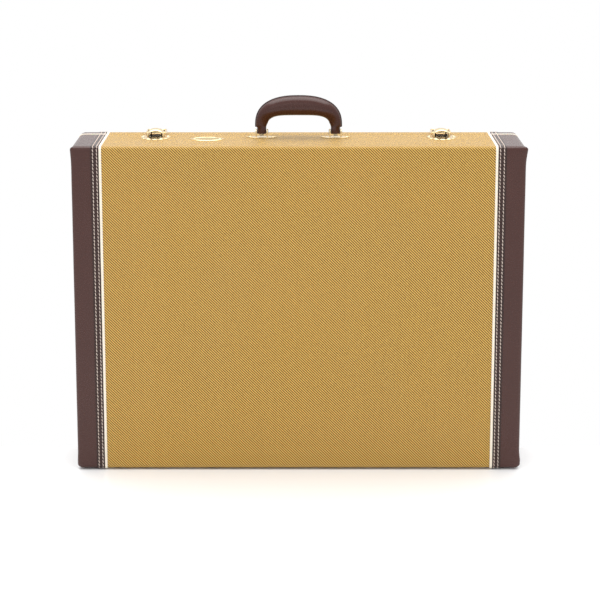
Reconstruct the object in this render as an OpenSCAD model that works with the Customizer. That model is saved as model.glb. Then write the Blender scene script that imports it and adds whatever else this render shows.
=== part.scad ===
// Tweed-covered hard carrying case with vinyl ends, standing on its hinge side.
// A deep front shell (the base) and a shallow back shell (the lid) are hinged along the underside.
// Millimetres. X is the width, -Y the front and +Z up; the origin is on the floor under the middle.

/* [Case] */
// Width over the two end covers
case_w = 620; // [580:10:660]
// Height from the underside of the case to its top face
case_h = 458; // [420:2:480]
// Depth from the front face to the back face
case_d = 130; // [126:2:150]
// Depth of the shallow back lid
lid_d = 24; // [22:1:28]
// Gap between the two shells at the seam
seam_gap = 0.6; // [0.6:0.1:1]
// Radius of the upright edges at the ends
end_r = 8; // [6:0.5:12]
// Radius of the long edges
long_r = 5; // [4:0.5:8]
// Radius of the corners seen from the front
corner_r = 6; // [4:0.5:9]

/* [Plywood] */
// Thickness of the base's walls and front panel
base_ply = 5; // [4:0.5:6]
// Thickness of the lid's walls and back panel
lid_ply = 4; // [3:0.5:4]

/* [Covering] */
// Thickness of the tweed and of the vinyl
skin_t = 1; // [0.8:0.1:1.5]
// Distance from each end of the case to the middle of the piping
piping_in = 40; // [40:0.5:60]
// Width of the piping
piping_w = 4; // [3:0.5:5]
// Height of the piping above the covering
piping_proud = 1.2; // [0.8:0.1:1.4]
// Width of the stitched seam strip beside the piping
strip_w = 11; // [9:0.5:11.5]
// Height of the stitched strip above the covering
strip_proud = 0.5; // [0.2:0.1:0.8]
// Width of the cord along the lid's edge at each end
bead_w = 2; // [1.5:0.5:3]
// Height of that cord above the covering
bead_proud = 0.8; // [0.4:0.1:1]

/* [Handle] */
// Distance from the middle of the case to each handle mount
handle_x = 51.5; // [48:0.5:60]
// Place of the handle along the depth
handle_y = 13; // [8:1:16]
// Height of the handle's pivot above the top face
handle_pivot_h = 8; // [8:0.5:10]
// Height of the handle above the top face
handle_rise = 60; // [56:1:66]
// Width over the handle's grip
handle_w = 120; // [118:1:124]
// Depth of the grip from front to back
grip_d = 26; // [22:1:28]
// Thickness of the grip from its crown to its underside
grip_t = 27; // [24:1:30]

/* [Latches] */
// Distance from the middle of the case to each latch
latch_x = 200; // [160:5:220]
// Width of the latch plate
latch_w = 42; // [40:1:46]
// Length of the latch plate along the depth
latch_l = 49; // [48:1:52]
// Width of the lever's hood
hood_w = 23; // [22:0.5:24]
// Length of the hood from its mouth to its pivot
hood_l = 21; // [20:0.5:22]
// Height of the hood above the top face
hood_h = 12; // [12:0.5:13]

/* [Badge] */
// Place of the blank badge along the width
badge_x = -127; // [-140:1:-110]
// Place of the badge along the depth
badge_y = -3; // [-12:1:4]
// Length of the badge between its points
badge_w = 47; // [40:1:50]
// Width of the badge
badge_d = 30; // [20:1:32]

/* [Hinges and glides] */
// Distance from the middle hinge to each outer hinge
hinge_pitch = 200; // [150:10:220]
// Length of each hinge
hinge_l = 40; // [36:2:50]
// Height of the glides that the case stands on
glide_h = 2; // [2:0.1:3]
// Distance from each end of the case to the middle of the glides
glide_in = 18; // [12:0.5:18]

/* [Lining] */
// Thickness of the foam
foam_t = 8; // [6:1:10]
// Thickness of the plush
plush_t = 1.5; // [1:0.5:2]
// How far the valance reaches over the seam into the lid
valance_reach = 8; // [4:1:8]

/* [Hidden] */
$fn = 64;
tiny = 0.05;          // radial clearance of a pin or a rivet in its hole
part_gap = 0.3;       // gap between pieces that move past each other
butt_gap = 0.2;       // gap between strips that meet end to end
big = 1000;           // longer than the whole case

top_z = glide_h + case_h;
mid_z = glide_h + case_h / 2;
front_y = -case_d / 2;
back_y = case_d / 2;
seam_y = back_y - lid_d;
base_edge_y = seam_y - seam_gap / 2;
lid_edge_y = seam_y + seam_gap / 2;
hinge_z = glide_h;

ply_x = case_w / 2 - skin_t;              // outer faces of the plywood
ply_top = top_z - skin_t;
ply_bottom = glide_h + skin_t;
base_in_x = ply_x - base_ply;             // inner faces of the base's walls
base_in_top = ply_top - base_ply;
base_in_bottom = ply_bottom + base_ply;
base_in_y = front_y + skin_t + base_ply;
lid_in_x = ply_x - lid_ply;               // inner faces of the lid's walls
lid_in_top = ply_top - lid_ply;
lid_in_bottom = ply_bottom + lid_ply;
lid_in_y = back_y - skin_t - lid_ply;

piping_x = case_w / 2 - piping_in;
tweed_x = piping_x - piping_w / 2;        // where each covering starts, going outwards
strip_x = piping_x + piping_w / 2;
cover_x = strip_x + strip_w;

valance_t = 4;
valance_y = seam_y - 21;                  // where the foam stops and the valance starts
foam_x = base_in_x - foam_t;
foam_top = base_in_top - foam_t;
foam_bottom = base_in_bottom + foam_t;
foam_y = base_in_y + foam_t;

rivet_r = 1.45;
rivet_head_r = 2.5;
rivet_head_h = 1;
plate_t = 1.2;                            // sheet metal of plates, strikes and badge

pivot_z = top_z + handle_pivot_h;
handle_pin_r = 2;
ear_t = 1.5;
ear_r = 4.5;
leg_w = 13;                               // width of a handle leg between its ears
leg_r = 6;
leg_in_x = handle_x - leg_w / 2;
leg_out_x = handle_x + leg_w / 2;
leg_step_z = pivot_z + 7;                 // the leg widens above the ears
leg_cut_z = pivot_z - 2;                  // the legs end square, and the core's eyes show below them
handle_corner_r = 32;
ear_gap = leg_w + 1;
mount_w = 42;
mount_d = 17;
mount_screw = 16;
welt_h = 1.2;
grip_z = top_z + handle_rise - welt_h - grip_t / 2;
core_z = grip_z - 6;                      // height of the core's bar, under the welt's round corners
core_t = 2;
core_w = 9;
core_eye_r = 5.2;
core_eye_w = 6;

lever_y = seam_y - 8;                     // pivot of the lever
lever_z = top_z + 6;
lever_pin_r = 1.5;
lever_boss_r = 4.3;
lever_ear_r = 2.4;
hood_wall = 1.5;
mouth_y = lever_y - hood_l;
loop_y = lever_y - 11;                    // pivot of the wire loop in the lever
loop_z = lever_z - 0.5;
wire_r = 1.2;
loop_t = 2;
loop_x = hood_w / 2 + part_gap + wire_r;
loop_bar_y = seam_y + 9;
tooth_top = loop_z - wire_r - part_gap;
latch_plate_y = seam_y - 1.5 - latch_l / 2;
strike_w = 28;
strike_l = 19;
strike_y = seam_y + 11.5;

knuckle_r = 1.8;
hinge_pin_r = 1;
knuckles = 5;
leaf_t = 1;
leaf_l = 16;
leaf_start = knuckle_r + 0.4;
hinge_places = [-hinge_pitch, 0, hinge_pitch];
relief_r = knuckle_r + 0.6;

badge_nail = badge_w / 2 - 6;
glide_r = 8;
glide_spigot_r = 2;
glide_x = case_w / 2 - glide_in;
glide_ys = [front_y + 17, seam_y - 17];

latch_rivets = [for (s = [-1, 1], e = [-1, 1], p = [[9, -17], [17.2, 1]])
                [s * latch_x + e * p[0], latch_plate_y + p[1]]];
handle_screws = [for (s = [-1, 1], e = [-1, 1]) [s * handle_x + e * mount_screw, handle_y]];
badge_nails = [for (e = [-1, 1]) [badge_x + e * badge_nail, badge_y]];
strike_rivets = [for (s = [-1, 1], e = [-1, 1]) [s * latch_x + e * 10, strike_y + 4]];
base_hinge_rivets = [for (h = hinge_places, e = [-1, 1]) [h + e * 12, seam_y - 11]];
lid_hinge_rivets = [for (h = hinge_places, e = [-1, 1]) [h + e * 12, seam_y + 11]];
glide_spots = [for (s = [-1, 1], y = glide_ys) [s * glide_x, y]];

tweed_colour = [0.71, 0.56, 0.28];
vinyl_colour = [0.36, 0.26, 0.24];
cream_colour = [0.96, 0.92, 0.86];
metal_colour = [0.93, 0.86, 0.68];
steel_colour = [0.7, 0.7, 0.7];
ply_colour = [0.82, 0.68, 0.48];
foam_colour = [0.45, 0.45, 0.45];
plush_colour = [0.55, 0.1, 0.1];

// ---- Shapes that several pieces share ----

// Mirrors its children to the left when side is -1.
module sided(side) {
  mirror([side < 0 ? 1 : 0, 0, 0]) children();
}

// Box given by its lowest and highest corners.
module block(low, high) {
  translate(low) cube(high - low);
}

// Rectangle with round corners, about its centre.
module rounded_rect(w, h, r) {
  square([w, h - 2 * r], center = true);
  square([w - 2 * r, h], center = true);
  for (sx = [-1, 1], sy = [-1, 1])
    translate([sx * (w / 2 - r), sy * (h / 2 - r)]) circle(r);
}

// Extrudes an outline drawn in Y and Z along X, about x = 0.
module along_x(length) {
  rotate([90, 0, 90]) linear_extrude(length, center = true) children();
}

// Extrudes an outline drawn in X and Z along Y, about y = 0.
module along_y(length) {
  rotate([90, 0, 0]) linear_extrude(length, center = true) children();
}

// The case's outer form with every face moved inwards by inset.
module case_form(inset) {
  w = case_w - 2 * inset;
  d = case_d - 2 * inset;
  h = case_h - 2 * inset;
  translate([0, 0, mid_z]) intersection() {
    linear_extrude(h, center = true) rounded_rect(w, d, end_r - inset);
    along_x(w) rounded_rect(d, h, long_r - inset);
    along_y(d) rounded_rect(w, h, corner_r - inset);
  }
}

// The base's share of the depth.
module base_share() {
  block([-big, -big, -big], [big, base_edge_y, big]);
}

// The space round the hinge line that the underside trim keeps clear of.
module hinge_relief() {
  block([-big, seam_y - 4, -big], [big, seam_y + 4, glide_h]);
}

// A covering wrapped round the plywood from x0 to x1, standing proud of the case's faces.
module wrap(x0, x1, proud) {
  difference() {
    intersection() {
      case_form(-proud);
      block([x0, -big, -big], [x1, big, big]);
    }
    case_form(skin_t);
    if (proud > 0) hinge_relief();
  }
}

// Upright holes at a list of places, from z0 to z1.
module drill(places, r, z0, z1) {
  for (p = places) translate([p[0], p[1], z0]) cylinder(h = z1 - z0, r = r);
}
module drill_top(places, r) {
  drill(places, r, base_in_top - 1, top_z + 5);
}
module drill_bottom(places, r) {
  drill(places, r, -1, base_in_bottom + 1);
}

// The pockets that the hinge knuckles turn in.
module knuckle_pockets() {
  for (h = hinge_places)
    translate([h, seam_y, hinge_z]) along_x(hinge_l + 1) circle(relief_r);
}

// Holes for the base's fasteners in its top and underside, and for the lid's.
module base_holes() {
  drill_top(concat(latch_rivets, handle_screws, badge_nails), rivet_r + tiny);
  drill_bottom(base_hinge_rivets, rivet_r + tiny);
  drill_bottom(glide_spots, glide_spigot_r + tiny);
}
module lid_holes() {
  drill_top(strike_rivets, rivet_r + tiny);
  drill_bottom(lid_hinge_rivets, rivet_r + tiny);
}

// Rivet, screw or nail standing on a plate, head up, with its shank going down.
module fastener(shank) {
  cylinder(h = rivet_head_h, r = rivet_head_r);
  translate([0, 0, -shank]) cylinder(h = shank + rivet_head_h / 2, r = rivet_r);
}

// ---- Base: plywood ----

module base_ply_piece(low, high) {
  color(ply_colour) difference() {
    intersection() {
      case_form(skin_t);
      block(low, high);
    }
    base_holes();
    knuckle_pockets();
  }
}
module front_panel() {
  base_ply_piece([-ply_x, front_y + skin_t, ply_bottom], [ply_x, base_in_y, ply_top]);
}
module base_top_wall() {
  base_ply_piece([-base_in_x, base_in_y, base_in_top], [base_in_x, base_edge_y, ply_top]);
}
module base_bottom_wall() {
  base_ply_piece([-base_in_x, base_in_y, ply_bottom], [base_in_x, base_edge_y, base_in_bottom]);
}
module base_side_wall(side) {
  sided(side) base_ply_piece([base_in_x, base_in_y, ply_bottom], [ply_x, base_edge_y, ply_top]);
}

// ---- Base: covering ----

module base_covering(colour, x0, x1, proud) {
  color(colour) difference() {
    intersection() {
      wrap(x0, x1, proud);
      base_share();
    }
    base_holes();
    knuckle_pockets();
  }
}
module base_tweed() {
  base_covering(tweed_colour, -tweed_x, tweed_x, 0);
}
module base_end_cover(side) {
  sided(side) base_covering(vinyl_colour, cover_x, big, 0);
}
module base_seam_strip(side) {
  sided(side) base_covering(vinyl_colour, strip_x, cover_x, strip_proud);
}
module base_piping(side) {
  sided(side) base_covering(cream_colour, tweed_x, strip_x, piping_proud);
}

// ---- Base: inside ----

module base_floor_foam() {
  color(foam_colour) block([-base_in_x, base_in_y, base_in_bottom], [base_in_x, foam_y, base_in_top]);
}
module base_side_foam() {
  color(foam_colour) {
    for (s = [-1, 1])
      sided(s) block([foam_x, foam_y, base_in_bottom], [base_in_x, valance_y, base_in_top]);
    block([-foam_x + butt_gap, foam_y, foam_top], [foam_x - butt_gap, valance_y, base_in_top]);
    block([-foam_x + butt_gap, foam_y, base_in_bottom], [foam_x - butt_gap, valance_y, foam_bottom]);
  }
}
module base_lining() {
  color(plush_colour) difference() {
    block([-foam_x, foam_y, foam_bottom], [foam_x, valance_y, foam_top]);
    block([-foam_x + plush_t, foam_y + plush_t, foam_bottom + plush_t],
          [foam_x - plush_t, big, foam_top - plush_t]);
  }
}
module valance() {
  tip_y = seam_y + valance_reach;
  side_x = base_in_x - valance_t;
  end_x = side_x - butt_gap;
  color(plush_colour) {
    for (s = [-1, 1])
      sided(s) block([side_x, valance_y, base_in_bottom], [base_in_x, tip_y, base_in_top]);
    block([-end_x, valance_y, base_in_top - valance_t], [end_x, tip_y, base_in_top]);
    block([-end_x, valance_y, base_in_bottom], [end_x, tip_y, base_in_bottom + valance_t]);
  }
}

// ---- Base: glides and badge ----

module glides() {
  color(steel_colour) for (p = glide_spots) translate([p[0], p[1], 0]) {
    cylinder(h = glide_h, r = glide_r);
    cylinder(h = base_in_bottom, r = glide_spigot_r);
  }
}
module badge_outline() {
  shoulder = badge_w / 2 - 8;
  polygon([[-badge_w / 2, 0], [-shoulder, -badge_d / 2], [shoulder, -badge_d / 2],
           [badge_w / 2, 0], [shoulder, badge_d / 2], [-shoulder, badge_d / 2]]);
}
module badge() {
  color(metal_colour) difference() {
    translate([badge_x, badge_y, top_z]) linear_extrude(plate_t) badge_outline();
    drill_top(badge_nails, rivet_r + tiny);
  }
}
module badge_nails() {
  color(metal_colour) for (p = badge_nails)
    translate([p[0], p[1], top_z + plate_t]) fastener(plate_t + skin_t + base_ply);
}

// ---- Handle mounts ----

// Boat-shaped plate with pointed ends.
module mount_outline() {
  waist = mount_w / 2 - 12;
  polygon([[-mount_w / 2, 0], [-waist, -mount_d / 2], [waist, -mount_d / 2],
           [mount_w / 2, 0], [waist, mount_d / 2], [-waist, mount_d / 2]]);
}
module handle_mount(side) {
  color(metal_colour) difference() {
    translate([side * handle_x, handle_y, top_z]) {
      linear_extrude(plate_t) mount_outline();
      for (s = [-1, 1])
        translate([s * (ear_gap + ear_t) / 2, 0, 0]) along_x(ear_t) {
          translate([0, handle_pivot_h]) circle(ear_r);
          translate([-ear_r, 0]) square([2 * ear_r, handle_pivot_h]);
        }
    }
    drill_top(handle_screws, rivet_r + tiny);
    translate([side * handle_x, handle_y, pivot_z]) along_x(big) circle(handle_pin_r + tiny);
  }
}
module handle_pin(side) {
  pin_l = ear_gap + 2 * ear_t;
  color(steel_colour) translate([side * handle_x, handle_y, pivot_z]) {
    along_x(pin_l + 2) circle(handle_pin_r);
    for (s = [-1, 1])
      translate([s * (pin_l + 1) / 2, 0, 0]) along_x(1) circle(handle_pin_r + 1.4);
  }
}
module handle_mount_screws() {
  color(metal_colour) for (p = handle_screws)
    translate([p[0], p[1], top_z + plate_t]) fastener(plate_t + skin_t + base_ply);
}

// ---- Handle ----

// Front view of the grip, grown outwards by extra.
module handle_outline(extra) {
  rise = grip_z + grip_t / 2 - pivot_z;
  intersection() {
    translate([0, pivot_z]) rounded_rect(handle_w + 2 * extra, 2 * (rise + extra), handle_corner_r + extra);
    translate([-big, leg_cut_z]) square([2 * big, big]);
  }
}
module handle_welt() {
  color(vinyl_colour) translate([0, handle_y, 0]) along_y(5) difference() {
    handle_outline(welt_h);
    handle_outline(-1);
    translate([-big, -big]) square([2 * big, big + leg_step_z + 2]);
  }
}
// Side view of the grip: a fat oval grip over slim legs.
module handle_side_view() {
  translate([handle_y, grip_z]) rounded_rect(grip_d, grip_t, grip_d / 2 - 1);
  translate([handle_y - leg_r, leg_cut_z]) square([2 * leg_r, grip_z - leg_cut_z]);
}
module handle_core_form() {
  for (s = [-1, 1]) translate([s * handle_x, handle_y, 0]) {
    translate([0, 0, pivot_z]) along_x(core_eye_w) circle(core_eye_r);
    block([-core_t / 2, -core_w / 2, pivot_z], [core_t / 2, core_w / 2, core_z]);
  }
  block([-handle_x - core_t / 2, handle_y - core_w / 2, core_z],
        [handle_x + core_t / 2, handle_y + core_w / 2, core_z + core_t]);
}
module handle_grip() {
  color(vinyl_colour) difference() {
    intersection() {
      translate([0, handle_y, 0]) along_y(grip_d + 2) difference() {
        handle_outline(0);
        translate([0, pivot_z]) rounded_rect(2 * leg_in_x, 2 * (grip_z - grip_t / 2 - pivot_z), 11);
        translate([-leg_in_x, 0]) square([2 * leg_in_x, pivot_z]);
        for (s = [-1, 1]) translate([s * (leg_out_x + 10), leg_step_z - 15]) square([20, 30], center = true);
      }
      along_x(big) handle_side_view();
    }
    handle_core_form();
    translate([0, handle_y, pivot_z]) along_x(big) circle(handle_pin_r + part_gap);
    handle_welt();
  }
}
module handle_core() {
  color(steel_colour) difference() {
    handle_core_form();
    translate([0, handle_y, pivot_z]) along_x(big) circle(handle_pin_r + tiny);
  }
}

// ---- Latches ----

// Oval with a scalloped rim, w by l overall.
module scalloped_oval(w, l, lobe_r, lobes) {
  a = w / 2 - lobe_r;
  b = l / 2 - lobe_r;
  polygon([for (i = [0:35]) [(a + lobe_r / 2) * cos(10 * i), (b + lobe_r / 2) * sin(10 * i)]]);
  for (i = [0:lobes - 1]) translate([a * cos(360 * i / lobes), b * sin(360 * i / lobes)]) circle(lobe_r);
}
module latch_plate(side) {
  ear_at = hood_w / 2 - hood_wall - ear_t / 2 - 1.8;
  color(metal_colour) difference() {
    translate([side * latch_x, 0, 0]) {
      translate([0, latch_plate_y, top_z]) linear_extrude(plate_t) scalloped_oval(latch_w, latch_l, 5, 12);
      for (s = [-1, 1]) translate([s * ear_at, lever_y, 0]) along_x(ear_t) {
        translate([0, lever_z]) circle(lever_ear_r);
        translate([-lever_ear_r, top_z]) square([2 * lever_ear_r, lever_z - top_z]);
      }
    }
    drill_top(latch_rivets, rivet_r + tiny);
    translate([side * latch_x, lever_y, lever_z]) along_x(hood_w) circle(lever_pin_r + tiny);
  }
}
module latch_pin(side) {
  color(steel_colour) translate([side * latch_x, lever_y, lever_z])
    along_x(hood_w - 0.2) circle(lever_pin_r);
}
// Side view of the hood, or of its hollow when inset is the wall's thickness.
module hood_side_view(inset) {
  roof = top_z + hood_h - inset;
  floor_z = inset > 0 ? top_z - 1 : lever_z - lever_boss_r;
  lip_y = inset > 0 ? mouth_y - 1 : mouth_y;
  polygon([[lip_y, floor_z], [lip_y, roof - 2.6], [mouth_y + 2, roof - 1.2], [mouth_y + 6, roof - 0.2],
           [mouth_y + 10, roof], [mouth_y + 15, roof - 0.5], [lever_y, roof - 1.7], [lever_y, floor_z]]);
}
// Front view of the hood: upright sides under a domed roof.
module hood_front_view(inset) {
  w = hood_w - 2 * inset;
  roof = hood_h - inset;
  translate([0, top_z + roof / 2]) rounded_rect(w, roof, 5);
  translate([-w / 2, top_z - 1]) square([w, roof / 2]);
}
module latch_lever(side) {
  color(metal_colour) translate([side * latch_x, 0, 0]) difference() {
    union() {
      intersection() {
        along_x(hood_w) hood_side_view(0);
        along_y(big) hood_front_view(0);
      }
      for (s = [-1, 1]) translate([s * (hood_w - hood_wall) / 2, lever_y, lever_z])
        along_x(hood_wall) circle(lever_boss_r);
    }
    intersection() {
      along_x(hood_w - 2 * hood_wall) hood_side_view(hood_wall);
      along_y(big) hood_front_view(hood_wall);
    }
    translate([0, lever_y, lever_z]) along_x(hood_w + 1) circle(lever_pin_r + tiny);
    translate([0, loop_y, loop_z]) along_x(hood_w + 1) circle(wire_r + tiny);
  }
}
// Loop: two arms beside the hood, a bar over the strike's tooth, and round ends turned into the hood.
module loop_outline(grow) {
  translate([0, (loop_y + loop_bar_y) / 2])
    rounded_rect(2 * (loop_x + grow), loop_bar_y - loop_y + 2 * grow, 3 + grow);
}
module latch_loop(side) {
  color(metal_colour) translate([side * latch_x, 0, loop_z]) {
    linear_extrude(loop_t, center = true) difference() {
      loop_outline(wire_r);
      loop_outline(-wire_r);
      translate([0, loop_y - wire_r]) square([2 * loop_x - 2 * wire_r, 12], center = true);
    }
    for (s = [-1, 1])
      translate([s * (loop_x - 1.4), loop_y, 0]) along_x(2.8) circle(wire_r);
  }
}
module strike(side) {
  color(metal_colour) difference() {
    translate([side * latch_x, 0, 0]) {
      translate([0, strike_y, top_z]) linear_extrude(plate_t) rounded_rect(strike_w, strike_l, 4);
      block([-8, loop_bar_y - 3.4, top_z], [8, loop_bar_y - 1.6, tooth_top]);
    }
    drill_top(strike_rivets, rivet_r + tiny);
  }
}

// ---- Hinges ----

// One leaf: side -1 is the base's, side 1 the lid's. The knuckles alternate.
module hinge_leaf(x, side) {
  pitch = hinge_l / knuckles;
  first = side < 0 ? 0 : 1;
  color(metal_colour) difference() {
    translate([x, seam_y, hinge_z]) {
      for (k = [first:2:knuckles - 1])
        translate([(k + 0.5) * pitch - hinge_l / 2, 0, 0]) {
          along_x(pitch - part_gap) circle(knuckle_r);
          translate([0, side * leaf_start / 2, -leaf_t / 2])
            cube([pitch - part_gap, leaf_start + 0.02, leaf_t], center = true);
        }
      translate([0, side * (leaf_start + leaf_l) / 2, -leaf_t / 2])
        cube([hinge_l, leaf_l - leaf_start, leaf_t], center = true);
    }
    drill_bottom(side < 0 ? base_hinge_rivets : lid_hinge_rivets, rivet_r + tiny);
    translate([x, seam_y, hinge_z]) along_x(hinge_l + 1) circle(hinge_pin_r + tiny);
  }
}
module hinge_pins() {
  color(steel_colour) for (h = hinge_places)
    translate([h, seam_y, hinge_z]) along_x(hinge_l) circle(hinge_pin_r);
}
// Rivet under a hinge leaf, with its shank going up through the covering and the plywood.
module underside_rivet(ply) {
  head = 0.5;
  translate([0, 0, hinge_z - leaf_t - head]) cylinder(h = head, r = rivet_head_r);
  translate([0, 0, hinge_z - leaf_t - head / 2])
    cylinder(h = leaf_t + head / 2 + skin_t + ply, r = rivet_r);
}
module base_rivets() {
  color(metal_colour) {
    for (p = latch_rivets) translate([p[0], p[1], top_z + plate_t]) fastener(plate_t + skin_t + base_ply);
    for (p = base_hinge_rivets) translate([p[0], p[1], 0]) underside_rivet(base_ply);
  }
}
module lid_rivets() {
  color(metal_colour) {
    for (p = strike_rivets) translate([p[0], p[1], top_z + plate_t]) fastener(plate_t + skin_t + lid_ply);
    for (p = lid_hinge_rivets) translate([p[0], p[1], 0]) underside_rivet(lid_ply);
  }
}

// ---- Lid ----

module lid_ply_piece(low, high) {
  color(ply_colour) difference() {
    intersection() {
      case_form(skin_t);
      block(low, high);
    }
    lid_holes();
    knuckle_pockets();
  }
}
module back_panel() {
  lid_ply_piece([-ply_x, lid_in_y, ply_bottom], [ply_x, back_y - skin_t, ply_top]);
}
module lid_top_wall() {
  lid_ply_piece([-lid_in_x, lid_edge_y, lid_in_top], [lid_in_x, lid_in_y, ply_top]);
}
module lid_bottom_wall() {
  lid_ply_piece([-lid_in_x, lid_edge_y, ply_bottom], [lid_in_x, lid_in_y, lid_in_bottom]);
}
module lid_side_wall(side) {
  sided(side) lid_ply_piece([lid_in_x, lid_edge_y, ply_bottom], [ply_x, lid_in_y, ply_top]);
}
// The cord along the lid's edge, from the strip round the end.
module lid_bead(proud) {
  intersection() {
    wrap(strip_x, big, proud);
    block([-big, lid_edge_y, -big], [big, lid_edge_y + bead_w, big]);
  }
}
module lid_covering(colour, x0, x1, proud, from_y) {
  color(colour) difference() {
    intersection() {
      wrap(x0, x1, proud);
      block([-big, from_y, -big], [big, big, big]);
    }
    lid_holes();
    knuckle_pockets();
  }
}
module lid_tweed() {
  lid_covering(tweed_colour, -tweed_x, tweed_x, 0, lid_edge_y);
}
module lid_end_cover(side) {
  sided(side) lid_covering(vinyl_colour, cover_x, big, 0, lid_edge_y + bead_w);
}
module lid_seam_strip(side) {
  sided(side) lid_covering(vinyl_colour, strip_x, cover_x, strip_proud, lid_edge_y + bead_w);
}
module lid_piping(side) {
  sided(side) {
    lid_covering(cream_colour, tweed_x, strip_x, piping_proud, lid_edge_y);
    color(cream_colour) lid_bead(bead_proud);
  }
}
module lid_foam() {
  color(foam_colour) block([-lid_in_x, lid_in_y - foam_t, lid_in_bottom], [lid_in_x, lid_in_y, lid_in_top]);
}
module lid_lining() {
  color(plush_colour) block([-lid_in_x, lid_in_y - foam_t - plush_t, lid_in_bottom],
                            [lid_in_x, lid_in_y - foam_t, lid_in_top]);
}

front_panel();
base_top_wall();
base_bottom_wall();
base_side_wall(-1);  // base_left_wall
base_side_wall(1);  // base_right_wall
base_tweed();
base_end_cover(-1);  // base_left_end_cover
base_end_cover(1);  // base_right_end_cover
base_seam_strip(-1);  // base_left_seam_strip
base_seam_strip(1);  // base_right_seam_strip
base_piping(-1);  // base_left_piping
base_piping(1);  // base_right_piping
base_floor_foam();
base_side_foam();
base_lining();
valance();
glides();
handle_mount(-1);  // handle_mount_left
handle_mount(1);  // handle_mount_right
handle_pin(-1);  // handle_pin_left
handle_pin(1);  // handle_pin_right
handle_mount_screws();
latch_plate(-1);  // latch_plate_left
latch_plate(1);  // latch_plate_right
latch_pin(-1);  // latch_pin_left
latch_pin(1);  // latch_pin_right
base_rivets();
badge();
badge_nails();
hinge_leaf(hinge_places[0], -1);  // hinge_left_base_leaf
hinge_leaf(hinge_places[1], -1);  // hinge_middle_base_leaf
hinge_leaf(hinge_places[2], -1);  // hinge_right_base_leaf
hinge_pins();
back_panel();
lid_top_wall();
lid_bottom_wall();
lid_side_wall(-1);  // lid_left_wall
lid_side_wall(1);  // lid_right_wall
lid_tweed();
lid_end_cover(-1);  // lid_left_end_cover
lid_end_cover(1);  // lid_right_end_cover
lid_seam_strip(-1);  // lid_left_seam_strip
lid_seam_strip(1);  // lid_right_seam_strip
lid_piping(-1);  // lid_left_piping
lid_piping(1);  // lid_right_piping
lid_foam();
lid_lining();
strike(-1);  // strike_left
strike(1);  // strike_right
lid_rivets();
hinge_leaf(hinge_places[0], 1);  // hinge_left_lid_leaf
hinge_leaf(hinge_places[1], 1);  // hinge_middle_lid_leaf
hinge_leaf(hinge_places[2], 1);  // hinge_right_lid_leaf
handle_grip();
handle_welt();
handle_core();
latch_lever(-1);  // latch_lever_left
latch_lever(1);  // latch_lever_right
latch_loop(-1);  // latch_loop_left
latch_loop(1);  // latch_loop_right
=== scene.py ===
import math

import bmesh
import bpy
import numpy as np
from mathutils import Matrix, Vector, noise


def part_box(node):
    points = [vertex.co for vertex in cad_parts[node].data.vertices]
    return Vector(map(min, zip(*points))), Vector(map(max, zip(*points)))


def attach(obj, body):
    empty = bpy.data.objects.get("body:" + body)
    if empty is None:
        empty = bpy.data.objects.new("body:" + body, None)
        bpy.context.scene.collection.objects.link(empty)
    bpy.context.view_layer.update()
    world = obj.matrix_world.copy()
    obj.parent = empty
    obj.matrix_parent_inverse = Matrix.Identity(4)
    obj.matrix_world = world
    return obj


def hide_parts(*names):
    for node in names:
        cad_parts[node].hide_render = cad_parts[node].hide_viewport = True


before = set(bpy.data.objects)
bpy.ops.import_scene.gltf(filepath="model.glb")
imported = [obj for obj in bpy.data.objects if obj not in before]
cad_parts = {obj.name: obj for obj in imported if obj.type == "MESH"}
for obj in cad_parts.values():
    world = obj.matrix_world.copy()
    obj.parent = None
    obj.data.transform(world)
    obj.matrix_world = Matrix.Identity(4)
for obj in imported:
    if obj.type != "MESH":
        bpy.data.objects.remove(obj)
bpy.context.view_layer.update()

# ---- Plywood shells ----
# The case is two plywood trays, a deep base and a shallow lid, each a panel with four walls
# glued round it. Their CAD shapes stay as they are, with a birch face and its long grain.


class Value:
    """A number, colour or vector that varies over a surface: one output of a shader tree."""

    def __init__(self, tree, socket):
        self.tree = tree
        self.socket = socket

    def math(self, operation, *terms):
        node = self.tree.nodes.new("ShaderNodeMath")
        node.operation = operation
        for spot, term in zip(node.inputs, terms):
            feed(self.tree, spot, term)
        return Value(self.tree, node.outputs[0])

    def __add__(self, other):
        return self.math("ADD", self, other)

    def __sub__(self, other):
        return self.math("SUBTRACT", self, other)

    def __rsub__(self, other):
        return self.math("SUBTRACT", other, self)

    def __mul__(self, other):
        return self.math("MULTIPLY", self, other)

    def __truediv__(self, other):
        return self.math("DIVIDE", self, other)

    def __mod__(self, other):
        return self.math("FLOORED_MODULO", self, other)

    def __lt__(self, other):
        return self.math("LESS_THAN", self, other)

    __radd__ = __add__
    __rmul__ = __mul__


def feed(tree, spot, term):
    """Links a value to a socket, or sets the socket to a plain number or colour."""
    if isinstance(term, Value):
        tree.links.new(term.socket, spot)
    elif spot.type == "RGBA":
        spot.default_value = (*term, 1)
    else:
        spot.default_value = term


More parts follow.
